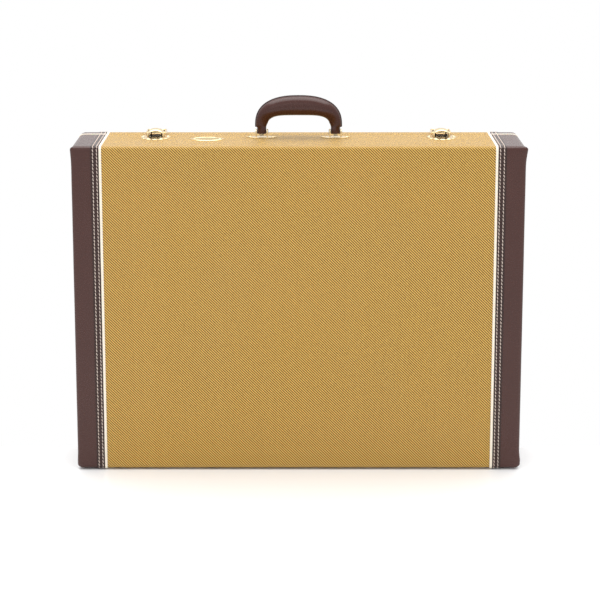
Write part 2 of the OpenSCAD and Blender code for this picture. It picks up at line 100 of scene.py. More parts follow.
class Finish:
    """A material: fixed values on its shader, and the nodes that make the rest of it."""

    def __init__(self, name, fixed):
        self.material = bpy.data.materials.new(name)
        self.material.use_nodes = True
        self.tree = self.material.node_tree
        self.shader = self.tree.nodes["Principled BSDF"]
        for socket, value in fixed.items():
            feed(self.tree, self.shader.inputs[socket], value)

    def node(self, kind, settings, sockets, out=0):
        made = self.tree.nodes.new("ShaderNode" + kind)
        for name, value in settings.items():
            setattr(made, name, value)
        for name, value in sockets.items():
            feed(self.tree, made.inputs[name], value)
        return Value(self.tree, made.outputs[out])

    def place(self):
        return self.node("TexCoord", {}, {}, out="Object")

    def stretched(self, scale):
        return self.node("VectorMath", {"operation": "MULTIPLY"}, {0: self.place(), 1: scale})

    def mottle(self, scale, detail=3, where=None):
        where = where or self.place()
        return self.node("TexNoise", {}, {"Vector": where, "Scale": scale, "Detail": detail})

    def pebbles(self, scale):
        return self.node("TexVoronoi", {"feature": "SMOOTH_F1"},
                         {"Vector": self.place(), "Scale": scale, "Smoothness": 0.4})

    def mix(self, mask, first, second):
        return self.node("Mix", {"data_type": "RGBA"}, {0: mask, 6: first, 7: second}, out=2)

    def relief(self, height, depth, strength=1.0):
        bump = self.node("Bump", {}, {"Height": height, "Distance": depth, "Strength": strength})
        self.give({"Normal": bump})

    def give(self, sockets):
        for name, value in sockets.items():
            feed(self.tree, self.shader.inputs[name], value)


def dress(nodes, finish):
    """Gives carried-over CAD nodes their finish."""
    for name in nodes:
        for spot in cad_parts[name].material_slots:
            spot.material = finish.material


plywood = Finish("plywood", {})
grain = plywood.mottle(1.0, 6, plywood.stretched((40, 900, 900)))
figure = plywood.mottle(1.0, 2, plywood.stretched((6, 45, 45)))
birch = plywood.mix(grain * 0.7 + figure * 0.3, (0.42, 0.26, 0.13), (0.74, 0.55, 0.33))
plywood.give({"Base Color": birch, "Roughness": grain * 0.2 + 0.5})
plywood.relief(grain, 0.0004)
dress(["front_panel", "back_panel"], plywood)
for shell in ("base", "lid"):
    dress([f"{shell}_{wall}_wall" for wall in ("top", "bottom", "left", "right")], plywood)

# ---- Tweed ----
# Lacquered two-and-two twill, tan warp over brown weft, whose ribs run down to the right. One
# length covers each shell's front or back, top and underside and turns in over the shell's rim.

_, FRONT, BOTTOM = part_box("base_tweed")[0]
TWEED_X, BASE_RIM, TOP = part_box("base_tweed")[1]
LID_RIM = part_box("lid_tweed")[0][1]
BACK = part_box("lid_tweed")[1][1]
MM = 0.001
CASE_R = 5 * MM
TURN_R = 1.2 * MM
TURN_GAP = 0.12 * MM
SKIN = 0.8 * MM
X_AXIS = np.array([1.0, 0, 0])


class Line:
    """Points on a piece's run, the way out of the surface at each, and the length so far."""

    def __init__(self, points, outs):
        self.points = np.array(points)
        self.outs = np.array(outs)
        steps = np.linalg.norm(np.diff(self.points, axis=0), axis=1)
        self.far = np.concatenate([[0], np.cumsum(steps)])


def rounded_line(corners, radii, step):
    """A line in Y and Z through rounded corners that all turn away from its outer side."""
    points, outs = [], []
    corners = [np.array(corner, float) for corner in corners]
    runs = [(b - a) / np.linalg.norm(b - a) for a, b in zip(corners, corners[1:])]
    sides = [np.array([-run[1], run[0]]) for run in runs]
    here = corners[0]
    for k, (run, side) in enumerate(zip(runs, sides)):
        last = k == len(runs) - 1
        stop = corners[k + 1] - (0 if last else radii[k]) * run
        for t in np.linspace(0, 1, max(2, int(np.linalg.norm(stop - here) / step) + 1)):
            points.append(here + t * (stop - here))
            outs.append(side)
        if not last:
            centre = corners[k + 1] - radii[k] * (side + sides[k + 1])
            for t in np.linspace(0, math.pi / 2, 8)[1:-1]:
                way = math.cos(t) * side + math.sin(t) * sides[k + 1]
                points.append(centre + radii[k] * way)
                outs.append(way)
            here = corners[k + 1] + radii[k] * runs[k + 1]
    return Line([[0, *p] for p in points], [[0, *o] for o in outs])


def swept(line, section, across=X_AXIS):
    """Rings along a line. section(far) lists how far across and how high each point of a ring is."""
    return np.array([[point + across * a + out * h for a, h in section(far)]
                     for point, out, far in zip(line.points, line.outs, line.far)])


def loft(rings):
    """The skin over a run of closed rings, shut at both ends, as its points and faces."""
    rings = np.asarray(rings, float)
    count, around = rings.shape[:2]
    faces = []
    for low in range(0, (count - 1) * around, around):
        for k in range(around):
            nxt = (k + 1) % around
            faces.append((low + k, low + nxt, low + around + nxt, low + around + k))
    faces += [tuple(range(around)), tuple(range((count - 1) * around, count * around))]
    return rings.reshape(-1, 3), faces


def mesh_of(name, parts):
    """One mesh from several lofts, with its faces turned outwards."""
    points, faces, start = [], [], 0
    for part_points, part_faces in parts:
        points.append(part_points)
        faces += [tuple(k + start for k in face) for face in part_faces]
        start += len(part_points)
    mesh = bpy.data.meshes.new(name)
    mesh.from_pydata(np.concatenate(points).tolist(), [], faces)
    work = bmesh.new()
    work.from_mesh(mesh)
    bmesh.ops.recalc_face_normals(work, faces=work.faces)
    work.to_mesh(mesh)
    work.free()
    return mesh


def settle(mesh, finish, body, replaced=(), sharp=32):
    """Makes a finished mesh a piece of the object that rides on a body."""
    mesh.shade_smooth()
    mesh.set_sharp_from_angle(angle=math.radians(sharp))
    if not mesh.materials:
        mesh.materials.append(finish.material)
    made = bpy.data.objects.new(mesh.name, mesh)
    bpy.context.scene.collection.objects.link(made)
    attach(made, body)
    if replaced:
        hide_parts(*replaced)
    return made


def lay_cloth(mesh, cloth):
    """Gives each point of a mesh its place on the flat cloth, as the UV map named cloth."""
    layer = mesh.uv_layers.new(name="cloth")
    corners = np.zeros(len(mesh.loops), dtype=int)
    mesh.loops.foreach_get("vertex_index", corners)
    layer.data.foreach_set("uv", np.asarray(cloth, float)[corners].ravel())


PLY_IN = {"base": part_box("base_top_wall")[0][2], "lid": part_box("lid_top_wall")[0][2]}
RIM = {"base": BASE_RIM + TURN_GAP, "lid": LID_RIM - TURN_GAP}
FAR_FACE = {"base": FRONT, "lid": BACK}
TURNED_IN = 0.2 * MM


def shell_line(shell, step):
    """Round a shell from rim to rim in Y and Z: the base from below to the top, the lid back down."""
    rim, far_face = RIM[shell], FAR_FACE[shell]
    inner_top = PLY_IN[shell] + TURNED_IN
    inner_bottom = BOTTOM + TOP - inner_top
    corners = [(rim, inner_bottom), (rim, BOTTOM), (far_face, BOTTOM),
               (far_face, TOP), (rim, TOP), (rim, inner_top)]
    if shell == "lid":
        corners.reverse()
    return rounded_line(corners, [TURN_R, CASE_R, CASE_R, TURN_R], step)


tweed = Finish("tweed", {"Specular IOR Level": 0.32, "Sheen Weight": 0.15,
                         "Sheen Roughness": 0.4, "Coat Roughness": 0.35})
YARN = 0.95 * MM
cloth_map = tweed.node("UVMap", {"uv_map": "cloth"}, {})
across_cloth = tweed.node("SeparateXYZ", {}, {"Vector": cloth_map}, out="X") / YARN
along_cloth = tweed.node("SeparateXYZ", {}, {"Vector": cloth_map}, out="Y") / YARN
warp_end = across_cloth.math("FLOOR", across_cloth)
weft_pick = along_cloth.math("FLOOR", along_cloth)
warp_up = (warp_end + weft_pick) % 4 < 2
warp_side = across_cloth.math("FRACT", across_cloth) * 2 - 1
weft_side = along_cloth.math("FRACT", along_cloth) * 2 - 1
warp_run = (warp_end + along_cloth) % 4 * (math.pi / 2)
weft_run = (weft_pick + across_cloth) % 4 * (math.pi / 2) - math.pi
warp_high = (1 - warp_side * warp_side) * (0.5 + 0.5 * warp_run.math("SINE", warp_run))
weft_high = (1 - weft_side * weft_side) * (0.5 + 0.5 * weft_run.math("SINE", weft_run))
yarn_high = warp_up * warp_high + (1 - warp_up) * weft_high
warp_tone = tweed.node("TexWhiteNoise", {"noise_dimensions": "1D"}, {"W": warp_end})
weft_tone = tweed.node("TexWhiteNoise", {"noise_dimensions": "1D"}, {"W": weft_pick + 0.5})
slub = tweed.mottle(260, 2)
wear = tweed.mottle(7, 3)
tan = tweed.mix(warp_tone * 0.2 + slub * 0.5, (0.78, 0.475, 0.088), (0.92, 0.61, 0.145))
brown = tweed.mix(weft_tone * 0.3 + slub * 0.5, (0.075, 0.023, 0.0006), (0.14, 0.052, 0.0016))
cloth_colour = tweed.mix(warp_up, brown, tan)
# Painted shade: the cloth colour is multiplied darker in the dips between the raised yarns, and a little
# more where the real wear mottle is high.
yarn_shade_and_wear = (1 - yarn_high) * 0.2 + wear * 0.1
cloth_with_painted_shade = tweed.node("Mix", {"data_type": "RGBA", "blend_type": "MULTIPLY"},
                        {0: yarn_shade_and_wear, 6: cloth_colour, 7: (0.35, 0.27, 0.18)}, out=2)
tweed.give({"Base Color": cloth_with_painted_shade, "Roughness": 0.62 - yarn_high * 0.14 + slub * 0.1,
            "Coat Weight": wear * 0.4})
tweed.relief(yarn_high + slub * 0.25, 0.00022, 0.8)

HINGE_BOXES = [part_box(f"hinge_{place}_base_leaf") for place in ("left", "middle", "right")]
POCKET_IN = 2.4 * MM
POCKET_UP = 2.7 * MM
POCKET_MARGIN = 0.7 * MM
NICK = 0.1 * MM
POCKET_SPANS = [(low[0] - POCKET_MARGIN, high[0] + POCKET_MARGIN) for low, high in HINGE_BOXES]
columns = sorted([-TWEED_X, TWEED_X] + [edge + nudge for span in POCKET_SPANS for edge in span
                                        for nudge in (-NICK, NICK)])
for shell in ("base", "lid"):
    line = shell_line(shell, 1.5 * MM)
    faces_up = [(x, 0.0) for x in columns]
    faces_down = [(x, -SKIN) for x in reversed(columns)]
    rings = swept(line, lambda far: faces_up + faces_down)
    inward = -1 if shell == "base" else 1
    for low, high in POCKET_SPANS:
        at_pocket = ((rings[..., 0] > low) & (rings[..., 0] < high)
                     & (rings[..., 2] < BOTTOM + POCKET_UP)
                     & (np.abs(rings[..., 1] - RIM[shell]) < TURN_R + NICK))
        rings[..., 1] += at_pocket * inward * POCKET_IN
    mesh = mesh_of(f"{shell}_tweed_cover", [loft(rings)])
    start = line.far[-1] if shell == "lid" else 0
    run_of = np.repeat(start + line.far, rings.shape[1])
    lay_cloth(mesh, np.stack([rings[..., 0].ravel(), run_of], axis=1))
    made = settle(mesh, tweed, shell, [f"{shell}_tweed"])

# ---- Vinyl ends ----
# Dark brown pebbled vinyl on a cloth back, glued over each end and folded at the corners, where
# the spare thickness stands a little proud. It turns in over the rim as the tweed does.


def leather(name, fixed, dark, light, pebble, depth):
    """Pebbled vinyl: cells with soft valleys between them, over a slow change of tone."""
    finish = Finish(name, fixed)
    cells = finish.pebbles(pebble)
    slow = finish.mottle(9, 2)
    fine = finish.mottle(900, 2)
    finish.give({"Base Color": finish.mix(cells * 0.55 + slow * 0.45, dark, light),
                 "Roughness": cells * 0.1 + slow * 0.08 + 0.17,
                 "Coat Weight": slow * 0.12})
    finish.relief((1 - cells) + fine * 0.2, depth, 0.55)
    return finish


vinyl = leather("vinyl", {"Specular IOR Level": 0.4, "Coat Roughness": 0.3},
                (0.034, 0.008, 0.005), (0.070, 0.020, 0.014), 1100, 0.00016)

SIDES = {"left": -1, "right": 1}
END_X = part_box("base_right_end_cover")[1][0]
STRIP_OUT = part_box("base_right_seam_strip")[1][0]
ROUND = np.array([8, 5, 5]) * MM
UNDER_STRIP = 2 * MM
TURN_PROFILE = [(math.sin(t) * TURN_R, (1 - math.cos(t)) * TURN_R)
                for t in np.linspace(0, math.pi / 2, 6)]
FOLD_DEEP = 9 * MM
FOLD_WIDE = 10 * MM
TOP_FOLD_TALL = 15 * MM
LOW_FOLD_TALL = 9 * MM
WAVINESS = 0.12 * MM


def spread(low, high, step):
    return list(np.linspace(low, high, max(2, int((high - low) / step) + 1)))


def heights(step):
    """Heights from the underside to the top, close together round the two edges."""
    low, high = BOTTOM + ROUND[2], TOP - ROUND[2]
    edges = 0.8 * MM
    return spread(BOTTOM, low, edges) + spread(low, high, step)[1:] + spread(high, TOP, edges)[1:]


def round_an_end(xs, y, zs):
    """Spots on the sharp box along the underside, up the end and back along the top."""
    return ([(x, y, BOTTOM) for x in xs] + [(END_X, y, z) for z in zs[1:]]
            + [(x, y, TOP) for x in reversed(xs[:-1])])


def round_off(point, shell):
    """A point on the right of the sharp box moved to the rounded one, and the way out there."""
    point = np.array(point, float)
    y_limits = (FRONT + ROUND[1], 1.0) if shell == "base" else (-1.0, BACK - ROUND[1])
    core = np.array([min(point[0], END_X - ROUND[0]), np.clip(point[1], *y_limits),
                     np.clip(point[2], BOTTOM + ROUND[2], TOP - ROUND[2])])
    lean = (point - core) / ROUND
    size = np.linalg.norm(lean)
    if size < 1e-9:
        return point, np.zeros(3)
    lean /= size
    out = lean / ROUND
    return core + ROUND * lean, out / np.linalg.norm(out)


def corner_fold(point, flare):
    """How far the folded corner stands out at a point, for one flare at the top and one below."""
    from_front = math.exp(-((point[1] - FRONT) / FOLD_DEEP) ** 2)
    from_end = math.exp(-((END_X - point[0]) / FOLD_WIDE) ** 2)
    below_top = TOP - point[2]
    above_floor = point[2] - BOTTOM
    top_part = flare[0] * math.exp(-(below_top / TOP_FOLD_TALL) ** 2)
    low_part = flare[1] * math.exp(-((above_floor - LOW_FOLD_TALL) / LOW_FOLD_TALL) ** 2)
    return from_front * from_end * (top_part + low_part)


FLARES = {("base", "left"): (1.6 * MM, 0.8 * MM), ("base", "right"): (3.4 * MM, 2.0 * MM),
          ("lid", "left"): (0, 0), ("lid", "right"): (0, 0)}


def open_skin(name, grids, merge, outwards, cut=None):
    """A skin over grids of points, merged where they meet, with the faces that cut names left out."""
    work = bmesh.new()
    for grid in grids:
        rows = [[work.verts.new(spot) for spot in row] for row in grid]
        for first, second in zip(rows, rows[1:]):
            for k in range(len(first) - 1):
                work.faces.new((first[k], first[k + 1], second[k + 1], second[k]))
    if cut:
        gone = [face for face in work.faces if cut(face.calc_center_median())]
        bmesh.ops.delete(work, geom=gone, context="FACES")
    bmesh.ops.remove_doubles(work, verts=work.verts, dist=merge)
    bmesh.ops.recalc_face_normals(work, faces=work.faces)
    outermost = max(work.faces, key=lambda face: face.calc_center_median().dot(outwards))
    if outermost.normal.dot(outwards) < 0:
        bmesh.ops.reverse_faces(work, faces=work.faces)
    mesh = bpy.data.meshes.new(name)
    work.to_mesh(mesh)
    work.free()
    return mesh


def thicken(made, thickness):
    """Gives an open skin its thickness, inwards from its outer side."""
    thick = made.modifiers.new("Thickness", "SOLIDIFY")
    thick.thickness = thickness
    thick.offset = -1
    return thick


def end_cover(shell, hand):
    side = SIDES[hand]
    rim = RIM[shell]
    way = 1 if shell == "base" else -1
    near = rim - way * TURN_R
    xs = [STRIP_OUT - UNDER_STRIP] + spread(STRIP_OUT, END_X - ROUND[0], 6 * MM)
    xs += spread(END_X - ROUND[0], END_X, 1.3 * MM)[1:]
    face_end = FAR_FACE[shell] + way * ROUND[1]
    ys = spread(min(FAR_FACE[shell], face_end), max(FAR_FACE[shell], face_end), 0.8 * MM)
    ys = sorted(set(ys) | set(spread(min(face_end, near), max(face_end, near), 6 * MM)))
    zs = heights(6 * MM)
    grids = [[[(END_X, y, z) for z in zs] for y in ys],
             [[(x, FAR_FACE[shell], z) for z in zs] for x in xs],
             [[(x, y, TOP) for y in ys] for x in xs],
             [[(x, y, BOTTOM) for y in ys] for x in xs]]
    grids = [[[round_off(spot, shell)[0] for spot in row] for row in grid] for grid in grids]
    border = [round_off(spot, shell) for spot in round_an_end(xs, near, zs)]
    profile = TURN_PROFILE + [(TURN_R, TOP - PLY_IN[shell] - TURNED_IN)]
    grids.append([[spot + np.array([0, way * dy, 0]) - out * inset for spot, out in border]
                  for dy, inset in profile])

    def draped(spot):
        fold = corner_fold(spot, FLARES[shell, hand])
        soft = noise.noise(Vector(spot) * 24) * WAVINESS
        return (spot[0] + fold + soft) * side, spot[1] - 0.3 * fold, spot[2] + 0.1 * fold

    grids = [[[draped(spot) for spot in row] for row in grid] for grid in grids]
    mesh = open_skin(f"{shell}_{hand}_vinyl_end", grids, 0.02 * MM, Vector((side, 0, 0)))
    made = settle(mesh, vinyl, shell, [f"{shell}_{hand}_end_cover"])
    thicken(made, SKIN)
    depth, tall, wide = abs(FAR_FACE[shell] - rim), TOP - BOTTOM, END_X - STRIP_OUT
    tuck = TOP - PLY_IN[shell]
    flat = (depth + wide + tuck, tall + 2 * (wide + tuck))
    area = flat[0] * flat[1] - 2 * wide * wide - 2 * wide * tuck


for shell in ("base", "lid"):
    for hand in SIDES:
        end_cover(shell, hand)

# ---- Seam strips and piping ----
# Where tweed meets vinyl, a folded strip of the same vinyl is stitched down with two rows, and a
# cream piping is caught under its inner edge. Both run right round each shell and fade at the rim.

PIPE_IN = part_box("base_right_piping")[0][0]
PIPE_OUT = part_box("base_right_piping")[1][0]
PIPE_X = (PIPE_IN + PIPE_OUT) / 2
PIPE_R = (PIPE_OUT - PIPE_IN) / 2
STRIP_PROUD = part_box("base_right_seam_strip")[1][2] - TOP
PIPE_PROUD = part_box("base_right_piping")[1][2] - TOP
ROWS = [PIPE_X + 4.4 * MM, PIPE_X + 9.8 * MM]
STITCH = 5 * MM
RIM_RUN = 7.5 * MM
FADE = 4 * MM
BEAD_R = 1.15 * MM
BEAD_SUNK = 0.35 * MM
BEAD_IN = 1.2 * MM
Y_AXIS = np.array([0, 1.0, 0])

# Painted shade: the strip is the same vinyl as the ends, coloured about half as bright to stand in for
# the shade along the stitched seam.
strip_vinyl_painted_shade = leather("seam strip", {"Specular IOR Level": 0.35, "Coat Roughness": 0.35},
                      (0.016, 0.005, 0.003), (0.038, 0.013, 0.009), 1100, 0.00014)

piping_pvc = Finish("piping", {"Subsurface Weight": 0.06, "Subsurface Scale": 0.003})
grime = piping_pvc.mottle(60, 3)
piping_pvc.give({"Base Color": piping_pvc.mix(grime, (0.93, 0.86, 0.74), (0.80, 0.71, 0.58)),
                 "Roughness": grime * 0.2 + 0.26})
piping_pvc.relief(piping_pvc.mottle(420, 2), 0.00008)


def full_turn(count):
    return np.linspace(0, 2 * math.pi, count + 1)[:-1]


def circle(radius, count=24):
    return np.array([(radius * math.cos(a), radius * math.sin(a)) for a in full_turn(count)])


def at_rim(line, far):
    """0 where a run turns over the shell's rim, 1 away from it."""
    near = min(far, line.far[-1] - far)
    t = min(max((near - RIM_RUN) / FADE, 0), 1)
    return t * t * (3 - 2 * t)


bead = circle(BEAD_R, 12) - (0, BEAD_SUNK)
strip_edges = [PIPE_OUT - 0.6 * MM, STRIP_OUT + 0.3 * MM]
strip_spots = np.array([strip_edges[0], PIPE_OUT + 0.1 * MM,
                        *np.linspace(PIPE_OUT + 0.7 * MM, STRIP_OUT - 0.7 * MM, 13),
                        STRIP_OUT - 0.1 * MM, strip_edges[1]])
strip_sewn = sum(np.exp(-((strip_spots - row) / (0.8 * MM)) ** 2) for row in ROWS)
for shell in ("base", "lid"):
    fine_line = shell_line(shell, 1.25 * MM)
    for hand, side in SIDES.items():

        def strip_section(far):
            proud = at_rim(fine_line, far)
            pucker = math.cos(2 * math.pi * far / STITCH) * 0.1 * MM
            risen = (STRIP_PROUD * (1 - 0.75 * strip_sewn) + pucker * (1 - strip_sewn)) * proud
            risen[[0, -1]] = -0.25 * MM
            upper = [(side * x, h) for x, h in zip(strip_spots, risen)]
            return upper + [(side * edge, -SKIN) for edge in reversed(strip_edges)]

        mesh = mesh_of(f"{shell}_{hand}_strip", [loft(swept(fine_line, strip_section))])
        strip = settle(mesh, strip_vinyl_painted_shade, shell,
                       [f"{shell}_{hand}_seam_strip"], sharp=60)

        def pipe_section(far):
            top = (PIPE_PROUD - 0.1 * MM) * at_rim(fine_line, far) + 0.1 * MM
            return [(side * (PIPE_X + PIPE_R * math.cos(t)), -SKIN + (top + SKIN) * math.sin(t))
                    for t in np.linspace(0, math.pi, 13)]

        parts = [loft(swept(fine_line, pipe_section))]
        if shell == "lid":
            xs = spread(PIPE_OUT, END_X - ROUND[0], 4 * MM)
            xs += spread(END_X - ROUND[0], END_X, 1 * MM)[1:]
            way = round_an_end(xs, RIM["lid"] + BEAD_IN, heights(8 * MM))
            spots, outs = zip(*[round_off(spot, shell) for spot in way])
            flip = np.array([side, 1, 1])
            bead_line = Line(np.array(spots) * flip, np.array(outs) * flip)
            parts.append(loft(swept(bead_line, lambda far: bead, across=Y_AXIS)))
        mesh = mesh_of(f"{shell}_{hand}_pipe", parts)
        settle(mesh, piping_pvc, shell, [f"{shell}_{hand}_piping"], sharp=50)

# ---- Stitching ----
# Two rows of thick pale thread hold each strip, about five millimetres to a stitch. Each stitch
# is a short bowed lay of thread, slanted so that the row looks like a rope.


class Tree:
    """A Geometry Nodes tree with named inputs, which ends in real mesh with its finish set."""

    def __init__(self, name, sockets):
        self.tree = bpy.data.node_groups.new(name, "GeometryNodeTree")
        self.tree.interface.new_socket("Geometry", in_out="OUTPUT", socket_type="NodeSocketGeometry")
        for socket, kind in {"Geometry": "Geometry", **sockets, "Finish": "Material"}.items():
            self.tree.interface.new_socket(socket, in_out="INPUT", socket_type="NodeSocket" + kind)
        self.given = self.tree.nodes.new("NodeGroupInput").outputs
        self.end = self.tree.nodes.new("NodeGroupOutput")

    def node(self, kind, settings, sockets):
        made = self.tree.nodes.new(kind)
        for name, value in settings.items():
            setattr(made, name, value)
        for name, value in sockets.items():
            if isinstance(value, bpy.types.NodeSocket):
                self.tree.links.new(value, made.inputs[name])
            else:
                made.inputs[name].default_value = value
        return made.outputs

    def way_out(self):
        """The way out of the surface that each of the carrier's points holds."""
        return self.node("GeometryNodeInputNamedAttribute", {"data_type": "FLOAT_VECTOR"},
                         {"Name": "out"})["Attribute"]

    def close(self, points, shape, rotation):
        """Ends the tree: a copy of a shape at each point, made real mesh and given its finish."""
        info = self.node("GeometryNodeObjectInfo", {"transform_space": "ORIGINAL"},
                         {"Object": self.given[shape]})
        copies = self.node("GeometryNodeInstanceOnPoints", {},
                           {"Points": points, "Instance": info["Geometry"], "Rotation": rotation})
        real = self.node("GeometryNodeRealizeInstances", {}, {"Geometry": copies["Instances"]})
        dressed = self.node("GeometryNodeSetMaterial", {},
                            {"Geometry": real["Geometry"], "Material": self.given["Finish"]})
        self.tree.links.new(dressed["Geometry"], self.end.inputs["Geometry"])

    def grow(self, name, carrier, values):
        """The mesh that the tree grows on a carrier mesh, as a plain mesh."""
        holder = bpy.data.objects.new(name + "_carrier", carrier)
        bpy.context.scene.collection.objects.link(holder)
        modifier = holder.modifiers.new("Grow", "NODES")
        modifier.node_group = self.tree
        for item in self.tree.interface.items_tree:
            if item.in_out == "INPUT" and item.name in values:
                modifier[item.identifier] = values[item.name]
        graph = bpy.context.evaluated_depsgraph_get()
        mesh = bpy.data.meshes.new_from_object(holder.evaluated_get(graph))
        mesh.name = name
        holder.modifiers.clear()
        bpy.data.objects.remove(holder)
        return mesh


def carrier_mesh(spots, outs, lines):
    """Points with the way out of the surface at each, joined by the given edges."""
    mesh = bpy.data.meshes.new("carrier")
    mesh.from_pydata([tuple(spot) for spot in spots], lines, [])
    field = mesh.attributes.new("out", "FLOAT_VECTOR", "POINT")
    field.data.foreach_set("vector", np.array(outs, float).ravel())
    return mesh


def template(name, parts, finish):
    """A small shape for a tree to repeat, kept out of the object itself."""
    made = bpy.data.objects.new(name, mesh_of(name, parts))
    made.data.shade_smooth()
    made.data.materials.append(finish.material)
    bpy.context.scene.collection.objects.link(made)
    return made


sewing = Tree("Row of stitches", {"Stitch": "Object", "Pitch": "Float", "Slant": "Float",
                                  "Unevenness": "Float", "Seed": "Int"})
given = sewing.given
curve = sewing.node("GeometryNodeMeshToCurve", {}, {"Mesh": given["Geometry"]})
run = sewing.node("GeometryNodeResampleCurve", {"mode": "LENGTH"},
                  {"Curve": curve["Curve"], "Length": given["Pitch"]})
tangent = sewing.node("GeometryNodeInputTangent", {}, {})
along = sewing.node("FunctionNodeAlignRotationToVector", {"axis": "X"}, {"Vector": tangent["Tangent"]})
upright = sewing.node("FunctionNodeAlignRotationToVector", {"axis": "Z", "pivot_axis": "X"},
                      {"Rotation": along["Rotation"], "Vector": sewing.way_out()})
wobble = sewing.node("FunctionNodeRandomValue", {"data_type": "FLOAT"},
                     {"Max": given["Unevenness"], "Seed": given["Seed"]})
angle = sewing.node("ShaderNodeMath", {"operation": "ADD"}, {0: given["Slant"], 1: wobble[1]})
turn = sewing.node("ShaderNodeCombineXYZ", {}, {"Z": angle["Value"]})
turn_by = sewing.node("FunctionNodeEulerToRotation", {}, {"Euler": turn["Vector"]})
slanted = sewing.node("FunctionNodeRotateRotation", {"rotation_space": "LOCAL"},
                      {"Rotation": upright["Rotation"], "Rotate By": turn_by["Rotation"]})
sewing.close(run["Curve"], "Stitch", slanted["Rotation"])

thread = Finish("thread", {"Roughness": 0.7, "Sheen Weight": 0.2, "Sheen Roughness": 0.5})
twist = thread.node("TexWave", {"bands_direction": "DIAGONAL"},
                    {"Vector": thread.place(), "Scale": 700, "Distortion": 0.4})
soil = thread.mottle(40, 3)
thread.give({"Base Color": thread.mix(twist * 0.35 + soil * 0.5,
                                      (0.78, 0.66, 0.58), (0.46, 0.34, 0.28))})
thread.relief(twist, 0.0001)

THREAD_R = 0.62 * MM
THREAD_LIFT = 0.25 * MM
STITCH_REACH = STITCH * 0.49
STITCH_BOW = [(-1, 0.35, -0.45 * MM), (-2 / 3, 0.8, 0), (-1 / 3, 1, 0.25 * MM), (0, 1, 0.35 * MM),
              (1 / 3, 1, 0.25 * MM), (2 / 3, 0.8, 0), (1, 0.35, -0.45 * MM)]
thread_rings = [[(t * STITCH_REACH, y, z + high) for y, z in circle(THREAD_R * thick, 6)]
                for t, thick, high in STITCH_BOW]
stitch_shape = template("stitch_shape", [loft(thread_rings)], thread)
for shell in ("base", "lid"):
    sew_line = shell_line(shell, 1.25 * MM)
    on_face = [k for k, far in enumerate(sew_line.far) if at_rim(sew_line, far) > 0.3]
    spots, outs, edges = [], [], []
    for side in SIDES.values():
        for row in ROWS:
            start = len(spots)
            spots += [sew_line.points[k] + sew_line.outs[k] * THREAD_LIFT + X_AXIS * side * row
                      for k in on_face]
            outs += [sew_line.outs[k] for k in on_face]
            edges += [(k, k + 1) for k in range(start, len(spots) - 1)]
    mesh = sewing.grow(f"{shell}_stitching", carrier_mesh(spots, outs, edges),
                       {"Stitch": stitch_shape, "Pitch": STITCH, "Slant": 0.17, "Unevenness": 0.12,
                        "Seed": 7, "Finish": thread.material})
    settle(mesh, thread, shell, sharp=80)
bpy.data.objects.remove(stitch_shape)

# ---- Rivets, screws, nails and glides ----
# Plated steel fasteners with domed heads, each through its plate, the covering and the plywood,
# and four turned steel glides with rounded rims under the base.


def metal(name, bright, dull, rough):
    """Plated sheet metal: slow tarnish, fine drawn scratches and small dents in the polish."""
    finish = Finish(name, {"Metallic": 1.0})
    tarnish = finish.mottle(55, 4)
    scratch = finish.mottle(1.0, 2, finish.stretched((260, 2600, 900)))
    finish.give({"Base Color": finish.mix(tarnish, bright, dull),
                 "Roughness": tarnish * 0.16 + scratch * 0.12 + rough})
    finish.relief(scratch * 0.6 + tarnish, 0.00006, 0.6)
    return finish


gold = metal("pale gold plating", (0.93, 0.79, 0.53), (0.74, 0.56, 0.29), 0.12)
steel = metal("steel", (0.62, 0.61, 0.59), (0.44, 0.43, 0.42), 0.24)

fastening = Tree("Heads at spots", {"Head": "Object"})
facing = fastening.node("FunctionNodeAlignRotationToVector", {"axis": "Z"},
                        {"Vector": fastening.way_out()})
points = fastening.node("GeometryNodeMeshToPoints", {}, {"Mesh": fastening.given["Geometry"]})
fastening.close(points["Points"], "Head", facing["Rotation"])


def drawn_in(outline, by):
    """An outline moved inwards by a distance, with its corners kept sharp."""
    ahead = np.roll(outline, -1, axis=0) - outline
    ahead /= np.linalg.norm(ahead, axis=1)[:, None]
    before = np.roll(ahead, 1, axis=0)
    side_a = np.stack([ahead[:, 1], -ahead[:, 0]], axis=1)
    side_b = np.stack([before[:, 1], -before[:, 0]], axis=1)
    meet = (side_a + side_b) / (1 + (side_a * side_b).sum(axis=1))[:, None]
    return outline - meet * by


def slab(outline, levels, origin=(0, 0, 0), axes="xyz"):
    """A plate or turned shape: its outline at each height and inset, and scaled by a third value."""
    order = ["xyz".index(letter) for letter in axes]
    rings = []
    for height, inset, *scaled in levels:
        ring = np.zeros((len(outline), 3))
        edge = drawn_in(np.asarray(outline, float), inset) * (scaled[0] if scaled else 1)
        ring[:, order[0]] = edge[:, 0]
        ring[:, order[1]] = edge[:, 1]
        ring[:, order[2]] = height
        rings.append(ring + np.array(origin))
    return loft(rings)


def rounded_rim(low, high, edge):
    """The levels of a plate from low to high whose upper and lower rims are rounded."""
    turn = np.linspace(0, math.pi / 2, 4)
    lower = [(low + edge * (1 - math.sin(a)), edge * (1 - math.cos(a))) for a in reversed(turn)]
    upper = [(high - edge * (1 - math.sin(a)), edge * (1 - math.cos(a))) for a in turn]
    return lower + upper


def boxes_of(node):
    """The box of each separate solid in a CAD node, from left to right."""
    work = bmesh.new()
    work.from_mesh(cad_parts[node].data)
    bmesh.ops.remove_doubles(work, verts=work.verts, dist=0.01 * MM)
    boxes, left = [], set(work.verts)
    while left:
        reach, island = [left.pop()], []
        while reach:
            vert = reach.pop()
            island.append(vert.co.copy())
            for edge in vert.link_edges:
                other = edge.other_vert(vert)
                if other in left:
                    left.discard(other)
                    reach.append(other)
        spots = np.array(island)
        boxes.append((spots.min(axis=0), spots.max(axis=0)))
    work.free()
    return sorted(boxes, key=lambda box: (*box[0], *box[1]))


